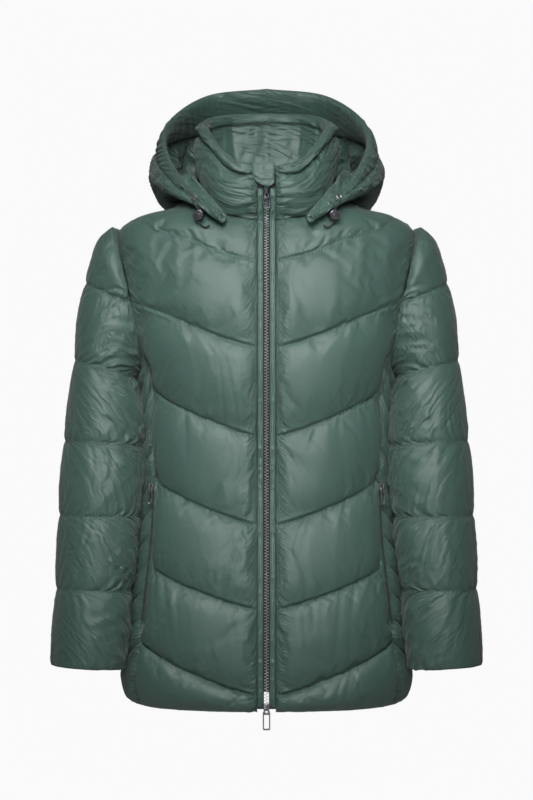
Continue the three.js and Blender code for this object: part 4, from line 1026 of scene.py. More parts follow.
@dataclass
class BodyPanels:
    """Front, back and side panels, quilted in chevrons and in narrow slanting channels."""

    puff: float = 13.0
    side_puff: float = 5.0
    side_lowest: float = 92.0
    side_step: float = 40.5
    side_lines: int = 11
    side_drop: float = 33.0

    def chevron_loft(self, base: Array, row: Array, seed: int) -> Array:
        """The stuffed form of chevron channels.

        Args:
            base: the panel's seam points.
            row: the rows' places, as a column.
            seed: picks how unevenly they are filled.

        Returns:
            Millimetres of loft, before the ends are drawn in.
        """
        channel = np.minimum(np.floor(row), 6)
        share = row - channel
        along = lengths(base, 1)
        fill = noise(along / 38 + 3.1 * channel, share * 0.9 + 5 * channel, seed) - 0.5
        stuffed = self.puff * swell(share) * (1 + 0.14 * fill)
        return stuffed * (1 - 0.55 * ease(row, 5, 6)) * (1 - 0.6 * ease(row, 6, 6.7))

    def creases(self, seams: Sequence[int], ends: Sequence[tuple[bool, float]],
                seed: int) -> Callable[[Array], Array]:
        """The gathers and soft folds of a chevron panel.

        Args:
            seams: the rows of its quilting lines.
            ends: for its first and last column, whether it is gathered there and how deep.
            seed: picks the pattern.

        Returns:
            A function of the fine points, which gives millimetres.
        """

        def relief(fine: Array) -> Array:
            """The gathers and folds at the fine points, in millimetres."""
            along, up = lengths(fine, 1), lengths(fine, 0)
            total = np.zeros(fine.shape[:2])
            near = np.full(fine.shape[:2], 1e3)
            for i, seam in enumerate(seams):
                distance = up - up[2 * seam]
                near = np.minimum(near, np.abs(distance))
                total += gathers(along, distance, seed + 11 * i, 9.0, 9.0, 0.6)
                total += gathers(along, distance, seed + 11 * i + 5, 26.0, 46.0, 1.1)
            for column, (from_left, depth) in enumerate(ends):
                distance = along if from_left else along[:, -1:] - along
                total += gathers(up, distance, seed + 101 + column, 7.5, 13.0, depth)
                total += gathers(up, distance, seed + 107 + column, 17.0, 30.0, 0.9 * depth)
                near = np.minimum(near, distance)
            # Long soft folds hang across the channels, and fade into their smooth fronts
            soft = folds(up, along, seed + 90, 90, 24, 8) * (0.35 + 0.65 * np.exp(-near / 25))
            return total + 0.9 * soft * ease(near, 0, 6)

        return relief

    def front(self, mirrored: bool) -> QuiltedPiece:
        """One front panel."""
        seed = 40 if mirrored else 20
        row, seams = channel_rows(BODY_CHANNEL_STEPS)
        row = row[:, None]
        across = np.linspace(0, 1, 53)[None]
        across = mix(across, 0.5 - 0.5 * np.cos(np.pi * across), 0.4)
        angle, height = front_place(across, row)
        base = body_point(angle, height)
        out = normals(base)
        flat = 0.05 * pocket_reach(height)
        far = 1 - flat - across
        loft = self.chevron_loft(base, row, seed) * rise(across, 0.14) * rise(far, 0.16)
        # The yoke lies flat towards the armhole, so that the sleeve head runs on from it
        loft *= 1 - 0.5 * ease(across, 0.3, 0.7) * ease(row, 4.3, 5.3)
        loft *= 1 - 0.9 * ease(across, 0.72, 1.0) * ease(row, 4.6, 5.4)
        loft *= 1 - 0.6 * ease(across, 0.8, 0.97) * ease(row, 3.5, 4.1)
        return QuiltedPiece(
            "quilted_front_right" if mirrored else "quilted_front_left",
            ("front_right",) if mirrored else ("front_left",),
            base, out, loft, seams, (0.25, 0.74), 0.145, mirrored=mirrored, growth=0.012,
            creases=self.creases(seams, [(True, 1.2), (False, 1.3)], seed),
            slack=lambda along, rows, ends: 0.03 + 0.3 * np.exp(-ends / 22) + 0 * along,
        )

    def back(self) -> QuiltedPiece:
        """The back, in one piece."""
        row, seams = channel_rows(BODY_CHANNEL_STEPS)
        row = row[:, None]
        across = np.linspace(-1, 1, 69)[None]
        across = mix(across, np.sin(np.pi / 2 * across), 0.4)
        angle, height = back_place(across, row)
        base = body_point(angle, height)
        out = normals(base)
        loft = self.chevron_loft(base, row, 60) * rise(1 - np.abs(across), 0.12)
        loft *= 1 - 0.9 * ease(np.abs(across), 0.72, 1.0) * ease(row, 4.6, 5.4)
        return QuiltedPiece(
            "quilted_back", ("back",), base, out, loft, seams, (0.5, 0.78), 0.32, growth=0.012,
            creases=self.creases(seams, [(True, 1.1), (False, 1.1)], 61),
            slack=lambda along, rows, ends: 0.03 + 0.3 * np.exp(-ends / 22) + 0 * along,
        )

    def side(self, mirrored: bool) -> QuiltedPiece:
        """One side panel, from princess seam to princess seam under the arm."""
        seed = 80 if mirrored else 90
        row, seams = channel_rows([10] * (self.side_lines + 1))
        row = row[:, None]
        across = np.linspace(0, 1, 31)[None]
        top = SLEEVE_JOIN_HEIGHT + 0 * across
        for _ in range(8):
            share = np.minimum(1, np.abs(90 - self.angle(across, top)) / ARMHOLE_HALF_TURN)
            top = ARMHOLE_MIDDLE - (ARMHOLE_MIDDLE - UNDERARM_HEIGHT) * np.sqrt(1 - share * share) - PIECE_GAP
        down = self.side_drop * np.sin(np.pi * across)
        low = hem_at(60 + 60 * across)
        lines = [self.side_lowest + self.side_step * i - down for i in range(self.side_lines)]
        bounds = np.stack([low] + lines + [SLEEVE_JOIN_HEIGHT - down])[:, 0]
        channel = np.minimum(np.floor(row[:, 0]).astype(int), self.side_lines)
        height = mix(bounds[channel], bounds[channel + 1], row - channel[:, None])
        height = low + (height - low) * (top - low) / (SLEEVE_JOIN_HEIGHT - down - low)
        base = body_point(self.angle(across, height), height)
        out = normals(base)
        flat = 0.06 * pocket_reach(height)
        # Below the arm the side is fullest, where the sleeve hangs against it
        under = 1 + 0.8 * ease(height, 320, 350) * (1 - ease(height, 465, 485)) - 0.6 * ease(height, 470, 500)
        loft = self.side_puff * under * swell(row - channel[:, None])
        loft = loft * rise(across - flat, 0.1) * rise(1 - across, 0.1)

        def creases(fine: Array) -> Array:
            """The gathers and folds at the fine points, in millimetres."""
            along, up = lengths(fine, 1), lengths(fine, 0)
            total = gathers(up, along, seed + 1, 8.0, 12.0, 1.1)
            total += gathers(up, along[:, -1:] - along, seed + 2, 8.0, 12.0, 1.1)
            return total + 0.7 * folds(along, up, seed + 4, 30, 9, 50) * ease(along, 0, 8)

        return QuiltedPiece(
            "quilted_side_right" if mirrored else "quilted_side_left",
            ("side_right",) if mirrored else ("side_left",),
            base, out, loft, seams, (0.15, 0.55), 0.07, mirrored=mirrored, cap=1.5, growth=0.01,
            creases=creases, slack=lambda along, rows, ends: 0.6 + 0 * along,
        )

    def angle(self, across: Array, height: Array) -> Array:
        """The angle round the body of a side panel's points."""
        first = princess_at(height) + SEAM_ANGLE
        return mix(first, 180 - first, across)

    def build(self) -> list[QuiltedPiece]:
        """All five panels."""
        return [self.front(False), self.front(True), self.back(), self.side(False), self.side(True)]


@dataclass
class Sleeves:
    """Set-in sleeves with five quilting lines, hanging just forward of the side."""

    puff: float = 7.0

    def sleeve(self, mirrored: bool) -> QuiltedPiece:
        """One sleeve."""
        seed = 120 if mirrored else 110
        row, seams = channel_rows([16, 20, 20, 20, 20, 20])
        row = row[::-1, None]
        seams = [len(row) - 1 - s for s in seams][::-1]
        turn = (-360 * np.arange(72) / 72)[None]
        line = head_line_share(turn)
        head = np.where(row < 1, row * line, mix(line, 1, row - 1))
        ring = sleeve_ring_point(turn, np.maximum(row, 2))
        base = np.where((row >= 2)[..., None], ring, sleeve_head_point(turn, np.minimum(head, 1)))
        facing = np.cos(np.radians(turn))
        # The head puffs up over its seam on the shoulder
        lift = 8.0 * np.exp(-row / 0.4) * ease(facing, 0.2, 0.8)
        base = base + lift[..., None] * np.array([0.1, 0.0, 1.0])
        out = self.outward(turn, row)
        channel = np.minimum(np.floor(row), 5)
        share = row - channel
        flat = 0.65 * ease(-facing, 0.1, 0.9) + 0.5 * ease(facing, 0.3, 1)
        along = lengths(base, 1)
        fill = noise(along / 34, share * 1.1 + 5 * channel, seed) - 0.5
        loft = self.puff * swell(share) * (1 + 0.2 * fill) * (1 - flat)
        raised = loft * rise(np.maximum(facing, 0), 0.6) * (1 + 0.45 * ease(facing, 0.2, 1))
        loft = np.where(row < 1, raised, loft)
        # The head stands level with the body's panels from its seam on
        loft += 3.2 * np.exp(-row / 0.3) * ease(facing, -0.5, 0.1)
        loft += 6.0 * np.exp(-(((row - 0.3) / 0.26) ** 2)) * ease(facing, 0.0, 0.6)
        # Pressed flat beside the pocket pull, which swings out there
        front = base[..., 1].mean(axis=1, keepdims=True) - base[..., 1]
        pressed = ease(-facing, -0.3, 0.3) * ease(front, 8, 26) * np.exp(-(((row - 3.8) / 0.5) ** 2))
        loft = loft - 2.4 * pressed
        inner_side = np.repeat(ease(-facing, -0.55, 0.5), 2, axis=1)

        def creases(fine: Array) -> Array:
            """The gathers and folds at the fine points, in millimetres."""
            along, up = lengths(fine, 1), lengths(fine, 0)
            total = np.zeros(fine.shape[:2])
            near = np.full(fine.shape[:2], 1e3)
            for i, seam in enumerate(seams):
                distance = up - up[2 * seam]
                near = np.minimum(near, np.abs(distance))
                total += gathers(along, distance, seed + 13 * i, 8.0, 12.0, 1.2)
                total += gathers(along, distance, seed + 13 * i + 5, 21.0, 44.0, 2.2)
            top = up[-1:] - up
            total += gathers(along, top, seed + 91, 8.0, 16.0, 1.5)
            total += gathers(along, top, seed + 93, 17.0, 46.0, 2.4)
            slack = 0.5 + 2.6 * inner_side
            slack = slack * (1 - 0.9 * np.repeat(np.repeat(pressed, 2, axis=0)[:-1], 2, axis=1))
            total += slack * folds(along, up, seed + 70, 60, 15, 36) * ease(near, 0, 12) * ease(top, 0, 12)
            total += 1.6 * folds(along, up, seed + 75, 34, 10, -30) * (0.3 + inner_side) * ease(near, 0, 8)
            return total

        return QuiltedPiece(
            "quilted_sleeve_right" if mirrored else "quilted_sleeve_left",
            ("sleeve_right",) if mirrored else ("sleeve_left",),
            base, out, loft, seams, (0.38, 0.62), 0.195, closed=True, mirrored=mirrored, growth=0.015,
            cap=3.0, creases=creases, slack=lambda along, rows, ends: 0.45 + 1.1 * inner_side + 0 * along, lean=38.0,
        )

    def outward(self, turn: Array, row: Array) -> Array:
        """Outward normals that stay steady where the rows close up at the armhole."""
        line = head_line_share(turn)
        used = np.where((row < 1e-6) | ((row < 1.001) & (line < 0.02)), 1.02, row)
        used = np.broadcast_to(used, np.broadcast_shapes(row.shape, turn.shape))

        def point(angle: Array, at: Array) -> Array:
            """Points of the sleeve."""
            share = head_line_share(angle)
            head = np.where(at < 1, at * share, mix(share, 1, at - 1))
            return np.where((at >= 2)[..., None], sleeve_ring_point(angle, np.maximum(at, 2)),
                            sleeve_head_point(angle, np.clip(head, 0, 1)))

        wide = np.broadcast_to(turn, used.shape)
        along = point(wide + 1, used) - point(wide - 1, used)
        up = point(wide, np.maximum(used - 0.04, 0)) - point(wide, np.minimum(used + 0.04, 6))
        return unit(np.cross(up, along))

    def build(self) -> list[QuiltedPiece]:
        """Both sleeves."""
        return [self.sleeve(False), self.sleeve(True)]


@dataclass
class Collar:
    """A stuffed stand-up collar with a rolled, topstitched upper edge."""

    puff: float = 9.0
    roll: float = 0.83

    def build(self) -> list[QuiltedPiece]:
        """The collar."""
        low, seams = channel_rows([16, 8])
        share = np.where(low < 1, low * self.roll, mix(self.roll, 1, low - 1))
        share = mix(0.015, 1, share)[:, None]
        column = np.linspace(0, 2, 181)[None]
        first = first_angle(mix(half_width_at(np.array(float(NECK[0][1]))), COLLAR_TOP["half_width"], share))
        angle = np.where(column <= 1, mix(first, 180, column), mix(180, 360 - first, column - 1))
        base = collar_point(angle, share)
        out = normals(base)
        ends = np.minimum(column, 2 - column)
        along, up = lengths(base, 1), lengths(base, 0)
        stuffed = np.where(low[:, None] < 1, self.puff * swell(low[:, None]), 8.0 * swell(low[:, None] - 1))
        loft = stuffed * rise(ends, 0.07)

        def creases(fine: Array) -> Array:
            """The gathers and folds at the fine points, in millimetres."""
            along, up = lengths(fine, 1), lengths(fine, 0)
            end = np.minimum(along, along[:, -1:] - along)
            front = 1 - ease(end, 20, 130)
            total = gathers(along, up - up[2 * seams[0]], 133, 8.0, 10.0, 1.2)
            total += gathers(along, up, 139, 9.0, 14.0, 1.2)
            total += gathers(up, end, 134, 7.0, 16.0, 1.6)
            total += gathers(up, end, 136, 13.0, 60.0, 2.6)
            # The zip pulls the front of the collar into long level folds
            total += (0.5 + 1.9 * front) * folds(along, up, 138, 60, 10, 4) * ease(end, 0, 8) * ease(up, 0, 8)
            return total

        around = np.abs(angle - 180)
        inside = 4.5 * swell((around % 32) / 32) * swell(np.clip(share, 0, 1))
        inside = inside * (1 + 0.5 * (noise(along / 12, up / 16, 137) - 0.5)) * ease(180 - around, 14, 40)
        crumples = 2.6 * folds(up, along, 141, 34, 11, 12)
        inside += crumples * swell(np.clip(share, 0, 1)) * ease(180 - around, 14, 40)
        inside += np.where(low[:, None] > 1, 4.5 * swell(low[:, None] - 1), 0) * rise(ends, 0.04)
        return [
            QuiltedPiece(
                "stuffed_collar", ("collar",), base, out, loft, seams, (0.56, 0.1), 0.052,
                growth=0.02, cap=2.5, inner_loft=inside, creases=creases,
                slack=lambda along, rows, ends: 0.9 + 0 * along,
            )
        ]


@dataclass
class Hood:
    """A lowered hood: a middle panel, two side panels and a gathered band round the face opening."""

    puff: float = 4.5
    seam: float = 0.24
    band: float = 0.13
    band_puff: float = 4.0

    def panel(self, name: str, nodes: tuple[str, ...], first: float, last: float, columns: int,
              flat: tuple[float, float], area: float, seed: int, mirrored: bool = False) -> QuiltedPiece:
        """One panel of the hood's bowl."""
        row = np.linspace(0, 1, 109)[:, None]
        column = np.linspace(0, 1, columns)[None]
        side = mix(first, last, column)
        share = row * (1 - self.band - mix(0.0006, 0.004, np.abs(side)))
        base = hood_point(side, share)
        out = self.outward(side, share)
        tip = 1 - ease(np.abs(side), 0.72, 1.0)
        along, up = lengths(base, 1), lengths(base, 0)
        fill = 1 + 0.4 * (noise(along / 34, up / 26, seed) - 0.5)
        loft = self.puff * swell(row) * rise(column, 0.12) * rise(1 - column, 0.12) * tip * fill
        slack = np.repeat(tip, 2, axis=1)[:, :-1] + 0.25

        def creases(fine: Array) -> Array:
            """The gathers and folds at the fine points, in millimetres."""
            along, up = lengths(fine, 1), lengths(fine, 0)
            top = up[-1:] - up
            total = gathers(along, top, seed + 2, 8.0, 18.0, 1.8)
            total += gathers(along, top, seed + 3, 15.0, 45.0, 2.4)
            total += 3.4 * folds(along, up, seed + 6, 60, 19, 24) * ease(top, 0, 10) * ease(up, 0, 10)
            total += 1.6 * folds(along, up, seed + 8, 30, 10, -38) * ease(top, 0, 10) * ease(up, 0, 10)
            return 0.65 * total * slack

        inside = 16.0 * folds(along, up, seed + 4, 70, 26, 28) + 7.0 * folds(along, up, seed + 5, 40, 15, -35)
        inside = inside * tip * ease(np.minimum(row, 1 - row), 0, 0.06)
        inside = inside * ease(np.minimum(column, 1 - column), 0, 0.06)
        return QuiltedPiece(
            name, nodes, base, out, loft, [], flat, area, mirrored=mirrored,
            growth=0.02, cap=3.0, inner_loft=inside, creases=creases,
            slack=lambda along, rows, ends: 1.1 + 0 * along, lean=22.0,
        )

    def outward(self, side: Array, share: Array) -> Array:
        """Outward normals from nearby points of the bowl, steady where its rows close up."""
        side, share = np.broadcast_arrays(side, share)
        step = 0.01
        near, far = np.clip(side - step, -1, 1), np.clip(side + step, -1, 1)
        along = hood_point(near, share) - hood_point(far, share)
        up = hood_point(side, np.clip(share + step, 0, 1)) - hood_point(side, np.clip(share - step, 0, 1))
        return unit(np.cross(along, up))

    def rim(self) -> QuiltedPiece:
        """The band round the face opening, gathered into ribs at its upper corners."""
        column = np.linspace(0, 1, 361)[None]
        row = np.linspace(0, 1, 13)[:, None]
        side = 1 - 2 * column
        share = mix(1 - self.band + mix(0.0006, 0.004, np.abs(side)), 1, row)
        base = hood_point(side, share)
        out = self.outward(side, share)
        along = lengths(base, 1)
        reach = np.abs(side)
        gathered = 0.35 + 0.65 * ease(reach, 0.1, 0.2) * (1 - ease(reach, 0.55, 0.7))
        lanes = (along + 9 * row) / 17.0 + 3.0 * noise(along / 40, 0.5 + 0.4 * row, 151)
        ribs = 0.5 - 0.5 * np.cos(2 * np.pi * lanes)
        tip = 1 - ease(reach, 0.7, 0.84)
        loft = self.band_puff * swell(row) * (1 - 0.75 * gathered * ribs) * tip
        inside = 7.5 * swell(row) * tip * (1 - 0.25 * gathered * ribs)
        return QuiltedPiece(
            "hood_rim", ("hood_band",), base, out, loft, [], (0.8, 0.055), 0.04,
            growth=0.03, cap=1.5, inner_loft=inside, held="gathered",
            slack=lambda along, rows, ends: 0.5 + 0 * along,
        )

    def build(self) -> list[QuiltedPiece]:
        """The hood's four pieces."""
        gap = 0.0004
        crown = self.panel("hood_crown", ("hood_middle",), self.seam - gap, -self.seam + gap, 65, (0.26, 0.42),
                           0.08, 140)
        sides = [
            self.panel("hood_side_panel_" + side, ("hood_side_" + side,), 1.0, self.seam + gap, 51, (0.28, 0.26),
                       0.04, seed, side == "right")
            for side, seed in (("left", 160), ("right", 170))
        ]
        return [crown, *sides, self.rim()]


# Closing, pockets, hardware and sewing


@dataclass
class FlatStrip:
    """A pressed strip of shell cloth with stitch grooves, on a surface given by a function."""

    name: str
    node: str
    across: Array
    up: Array
    place: Callable[[Array, Array, Array], Array]
    back: float
    thick: float
    grooves: tuple[float, ...]
    flat: tuple[float, float]
    area: float
    seed: int
    mirrored: bool = False
    ripple: float = 2.0
    slot: Slot = Slot.NYLON

    def build(self, material: bpy.types.Material) -> bpy.types.Object:
        """Makes the strip.

        Args:
            material: its finish.

        Returns:
            The piece.
        """
        share = np.linspace(0, 1, self.across.shape[1])[None]
        row = np.linspace(0, 1, self.up.shape[0])[:, None]
        edge = rise(share, 0.18) * rise(1 - share, 0.18) * rise(row, 0.012) * rise(1 - row, 0.012)
        dents = sum(np.exp(-(((self.across - groove) / 0.45) ** 2)) for groove in self.grooves)
        ripple = noise(self.up / 4.2, self.across / 8, self.seed) - 0.5
        ripple = ripple + 0.8 * (noise(self.up / 11, self.across / 8, self.seed + 1) - 0.5)
        stand = self.back + self.thick * (0.35 + 0.65 * edge) + self.ripple * ripple * edge - 0.8 * dents
        outer = self.place(self.across, self.up, stand)
        inner = self.place(self.across, self.up, self.back + 0 * stand)[::2, ::2]
        if self.mirrored:
            outer, inner = outer[:, ::-1] * MIRROR, inner[:, ::-1] * MIRROR
        piece = shell_mesh(self.name, outer, inner, False)
        piece.data.materials.append(material)
        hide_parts(self.node)
        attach(piece, JACKET)
        return piece


@dataclass
class Closing:
    """The plackets beside the zip, the chin guard over its top, and its metal teeth."""

    placket: tuple[float, float] = (4.7, 12.6)
    placket_low: float = 3.0
    placket_high: float = 733.0
    placket_back: float = 0.8
    placket_thick: float = 2.6
    grooves: tuple[float, float] = (6.3, 10.9)
    guard: tuple[tuple[float, float], ...] = (
        (-20, 751), (-15, 743), (-8, 737.5), (-1, 735), (6, 736), (11.5, 740),
    )
    guard_top: float = 769.0
    guard_stand: float = 6.6
    guard_drop: float = 1.5
    chain_low: float = 10.0
    chain_high: float = 722.0
    tooth_pitch: float = 4.2

    def on_front(self, across: Array, up: Array, stand: Array) -> Array:
        """Points in front of the middle line."""
        across, up, stand = np.broadcast_arrays(across, up, stand)
        return np.stack([across, closing_depth(up) - stand, up], axis=-1)

    def placket_strip(self, side: str) -> FlatStrip:
        """The placket of one side."""
        up = np.linspace(self.placket_low, self.placket_high, 365)[:, None]
        across = np.linspace(*self.placket, 17)[None]
        return FlatStrip("sewn_placket_" + side, "placket_" + side, across, up, self.on_front,
                         self.placket_back, self.placket_thick, self.grooves, (0.016, 0.735), 0.0073, 210,
                         side == "right")

    def tape_strip(self, side: str) -> FlatStrip:
        """The zip tape of one side, whose outer edge is sewn behind the front panel."""
        up = np.linspace(1.0, 762.0, 305)[:, None]
        across = np.linspace(3.5, 17.0, 21)[None]

        def place(x: Array, height: Array, stand: Array) -> Array:
            """Points of the strip."""
            return self.on_front(x, height, stand - 2.0 * ease(x, 11.6, 12.9))

        return FlatStrip("woven_tape_" + side, "zip_tape_" + side, across, up, place, -0.5, 0.9, (),
                         (0.0145, 0.762), 0.0107, 240, side == "right", 0.0, Slot.TAPE)

    def guard_strip(self) -> FlatStrip:
        """The rounded flap over the top of the zip."""
        across = np.linspace(self.guard[0][0], self.guard[-1][0], 41)[None]
        low = smooth_curve(self.guard)(across)
        up = mix(low, self.guard_top, np.linspace(0, 1, 41)[:, None])

        def place(x: Array, height: Array, stand: Array) -> Array:
            """Points of the strip."""
            hinge = self.guard_stand - self.guard_drop * ease(-x, 4, 20)
            return self.on_front(x, height, stand + hinge)

        return FlatStrip("sewn_chin_guard", "chin_guard", across, up, place, -1.1, 2.9, (),
                         (0.036, 0.034), 0.0011, 220)

    def teeth(self, finish: bpy.types.Material) -> bpy.types.Object:
        """The two rows of interlocked teeth."""
        rows = []
        for side, shift in ((1, 0.0), (-1, self.tooth_pitch / 2)):
            height = np.linspace(self.chain_low + 0.8 + shift, self.chain_high - 2.4 + shift, 240)
            line = self.on_front(np.zeros_like(height), height, np.zeros_like(height))
            item = self.tooth(side)
            rows.append(repeat_along("teeth_row", [(line, FORWARD)], item, self.tooth_pitch, finish))
            bpy.data.objects.remove(item)
        chain = rows[0]
        joined = bmesh.new()
        for row in rows:
            joined.from_mesh(row.data)
        joined.to_mesh(chain.data)
        joined.free()
        bpy.data.objects.remove(rows[1])
        chain.name = "interlocked_teeth"
        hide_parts("zip_teeth")
        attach(chain, JACKET)
        return chain

    def tooth(self, side: int) -> bpy.types.Object:
        """One tooth: a block clamped on the tape's edge, with a rounded nose past the middle."""
        solid = bmesh.new()
        bmesh.ops.create_cube(solid, size=1.0)
        for vertex in solid.verts:
            x, y, z = vertex.co
            nose = y * side > 0
            place = (0.95 * x, side * (0.35 if nose else -3.1), 0.55 + (2.9 if nose else 2.0) * z)
            vertex.co = Vector(place) * MM
        bmesh.ops.bevel(solid, geom=solid.edges[:], offset=0.38 * MM, segments=1, affect="EDGES", profile=0.5)
        return linked("tooth", mesh_of("tooth", solid))


@dataclass
class Pockets:
    """The welts along the pockets in the princess seams."""

    low: float = 122.0
    high: float = 318.0
    welt: tuple[float, float] = (-3.1, -0.1)

    def welt_strip(self, side: str) -> FlatStrip:
        """The welt of one side."""
        up = np.linspace(self.low, self.high, 99)[:, None]
        across = np.linspace(*self.welt, 15)[None]

        def place(angle: Array, height: Array, stand: Array) -> Array:
            """Points of the welt."""
            turn = princess_at(height) + angle
            ahead = body_point(turn + 0.5, height) - body_point(turn - 0.5, height)
            above = body_point(turn, height + 1) - body_point(turn, height - 1)
            return body_point(turn, height) + unit(np.cross(ahead, above)) * stand[..., None]

        return FlatStrip("sewn_welt_" + side, "pocket_welt_" + side, across, up, place, HALF_WALL + 0.6, 2.2,
                         (-2.5,), (0.011, 0.2), 0.0019, 230, side == "right")


@dataclass
class Hardware:
    """Sliders, pulls, eyelets, toggles and the hood's elastic cord."""

    cast: tuple[str, ...] = (
        "slider_top", "slider_bottom", "pull_top", "pull_bottom", "slider_pocket_left", "slider_pocket_right",
        "pull_pocket_left", "pull_pocket_right",
    )
    bodies: dict[str, str] = field(default_factory=lambda: {
        "pull_top": "top_pull", "pull_bottom": "bottom_pull",
        "pull_pocket_left": "pocket_pull_left", "pull_pocket_right": "pocket_pull_right",
    })
    edge: float = 0.28
    eyelet: tuple[float, float] = (0.86, 0.91)
    eyelet_lift: float = 0.4
    eyelet_height: float = 1.4
    cord_lift: float = 0.4
    toggle: tuple[float, float, float] = (96, -97, 695)
    toggle_radius: float = 7.3
    toggle_length: float = 10.0
    toggle_turn: float = 12.0
    cord_radius: float = 1.25
    cord_route: tuple[tuple[float, float, float], ...] = (
        (104, -95, 716), (100, -98, 708), (96, -97, 702.3), (96, -97, 695), (96, -97, 687.7), (92, -98, 681),
        (86, -101, 678), (80, -102, 681),
    )

    def casting(self, name: str, finish: bpy.types.Material) -> bpy.types.Object:
        """A die-cast piece with its edges broken."""
        cad = frame["nodes"][name]
        solid = bmesh.new()
        solid.from_mesh(cad.data)
        solid.transform(cad.matrix_world)
        bmesh.ops.remove_doubles(solid, verts=solid.verts, dist=0.002 * MM)
        bmesh.ops.dissolve_limit(solid, angle_limit=math.radians(1), verts=solid.verts, edges=solid.edges)
        piece = linked("cast_" + name, mesh_of("cast_" + name, solid))
        bevel = piece.modifiers.new("edges", "BEVEL")
        bevel.width = self.edge * MM
        bevel.segments = 2
        bevel.limit_method = "ANGLE"
        bevel.angle_limit = math.radians(30)
        baked = evaluated_mesh(piece)
        piece.modifiers.clear()
        piece.data = smoothed(baked, 28)
        baked.materials.clear()
        baked.materials.append(finish)
        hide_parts(name)
        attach(piece, self.bodies.get(name, JACKET))
        return piece

    def hood_side(self, side: str, gunmetal: bpy.types.Material, nickel: bpy.types.Material,
                  braid: bpy.types.Material) -> None:
        """The eyelet, toggle and cord of one side."""
        sign = -1 if side == "right" else 1
        flip = np.array([float(sign), 1.0, 1.0])
        at, share = np.array(self.eyelet[0]), np.array(self.eyelet[1])
        foot = hood_point(at, share)
        out = Hood().outward(at, share)
        ring = turned(
            "rolled_eyelet_" + side,
            [(2.2, 0.5), (2.5, 0), (4.6, 0), (5.0, 0.25), (4.8, 0.8), (4.1, 1.3), (3.3, 1.4), (2.6, 1.15),
             (2.2, 0.8)],
            40, (foot + out * (HALF_WALL + self.eyelet_lift)) * flip, out * flip,
        )
        ring.data.materials.append(gunmetal)
        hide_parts("eyelet_" + side)
        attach(ring, JACKET)
        barrel = self.casting("toggle_" + side, nickel)
        turn = math.radians(self.toggle_turn)
        facing = np.array([math.sin(turn), -math.cos(turn), 0.0])
        cap = turned(
            "toggle_face_" + side,
            [(0, 0), (6.3, 0), (6.4, 0.4), (6.1, 0.75), (5.7, 0.75), (5.3, 0.35), (3.2, 0.3), (1.6, 0.55),
             (0, 0.65)],
            48, (np.array(self.toggle) + facing * (self.toggle_length / 2 + 0.02)) * flip, facing * flip,
        )
        cap.data.materials.append(nickel)
        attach(cap, JACKET)
        start = foot + out * (HALF_WALL + self.eyelet_lift + self.eyelet_height + self.cord_lift)
        route = np.array([tuple(start)] + list(self.cord_route)) * flip
        line = self.through(route, 96)
        curve = bpy.data.curves.new("hood_elastic_" + side, "CURVE")
        curve.dimensions = "3D"
        curve.bevel_depth = self.cord_radius * MM
        curve.bevel_resolution = 3
        curve.use_fill_caps = True
        spline = curve.splines.new("POLY")
        spline.points.add(len(line) - 1)
        for point, place in zip(spline.points, to_row(line)):
            point.co = (*place, 1.0)
        cord = linked("hood_elastic_" + side, curve)
        curve.materials.append(braid)
        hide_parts("hood_cord_" + side)
        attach(cord, JACKET)
        tuple(to_row(line[0]))

    def through(self, points: Array, count: int) -> Array:
        """A smooth line through points, in even steps of its own parameter."""
        padded = np.concatenate([[2 * points[0] - points[1]], points, [2 * points[-1] - points[-2]]])
        place = np.linspace(0, len(points) - 1, count)
        i = np.minimum(place.astype(int), len(points) - 2)
        t = (place - i)[:, None]
        p0, p1, p2, p3 = (padded[i + k] for k in range(4))
        square, cube = 2 * p0 - 5 * p1 + 4 * p2 - p3, 3 * (p1 - p2) + p3 - p0
        return 0.5 * (2 * p1 + (p2 - p0) * t + square * t**2 + cube * t**3)

    def build(self, black: bpy.types.Material, gunmetal: bpy.types.Material, nickel: bpy.types.Material,
              braid: bpy.types.Material) -> None:
        """All the hardware."""
        for name in self.cast:
            self.casting(name, black if name.endswith("_top") else gunmetal)
        for side in ("left", "right"):
            self.hood_side(side, gunmetal, nickel, braid)


@dataclass
class Sewing:
    """Lock stitches along the quilting lines and the plackets."""

    pitch: float = 3.6
    length: float = 2.7
    radius: float = 0.28

    def stitch(self) -> bpy.types.Object:
        """One stitch: a short length of thread with tapered ends."""
        half = self.length / 2
        profile = [(0, -half), (self.radius, 0.5 - half), (self.radius, half - 0.5), (0, half)]
        return turned("stitch", profile, 6, NAPE, np.array([1.0, 0.0, 0.0]))

    def quilting(self, piece: QuiltedPiece) -> list[tuple[Array, Array]]:
        """The quilting lines of a piece, just above its pressed seams."""
        lines = []
        out = normals(piece.fine, piece.closed)
        flip = np.array([-1.0 if piece.mirrored else 1.0, 1.0, 1.0])
        for seam in piece.row_seams:
            points, outs = piece.fine[2 * seam], out[2 * seam]
            if piece.closed:
                points, outs = np.concatenate([points, points[:1]]), np.concatenate([outs, outs[:1]])
            lines.append(((points + outs * 0.12) * flip, outs * flip))
        return lines

    def build(self, pieces: Sequence[QuiltedPiece], thread: bpy.types.Material) -> None:
        """All the stitching.

        Args:
            pieces: the finished quilted pieces.
            thread: the thread's finish.
        """
        item = self.stitch()
        closing = Closing()
        height = np.linspace(closing.placket_low + 3, closing.placket_high - 2, 300)
        edges = []
        for groove in closing.grooves:
            for sign in (1, -1):
                across, stand = np.full_like(height, groove * sign), np.full_like(height, 3.1)
                line = closing.on_front(across, height, stand)
                edges.append((line, FORWARD))
        groups = {"placket_stitches": edges}
        for piece in pieces:
            if piece.row_seams and not piece.name.startswith("quilted_side"):
                group = "quilting_stitches_" + piece.name.split("_")[1]
                groups.setdefault(group, []).extend(self.quilting(piece))
        for name, lines in groups.items():
            sewn = repeat_along(name, lines, item, self.pitch, thread)
            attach(sewn, JACKET)
        bpy.data.objects.remove(item)


# Stage


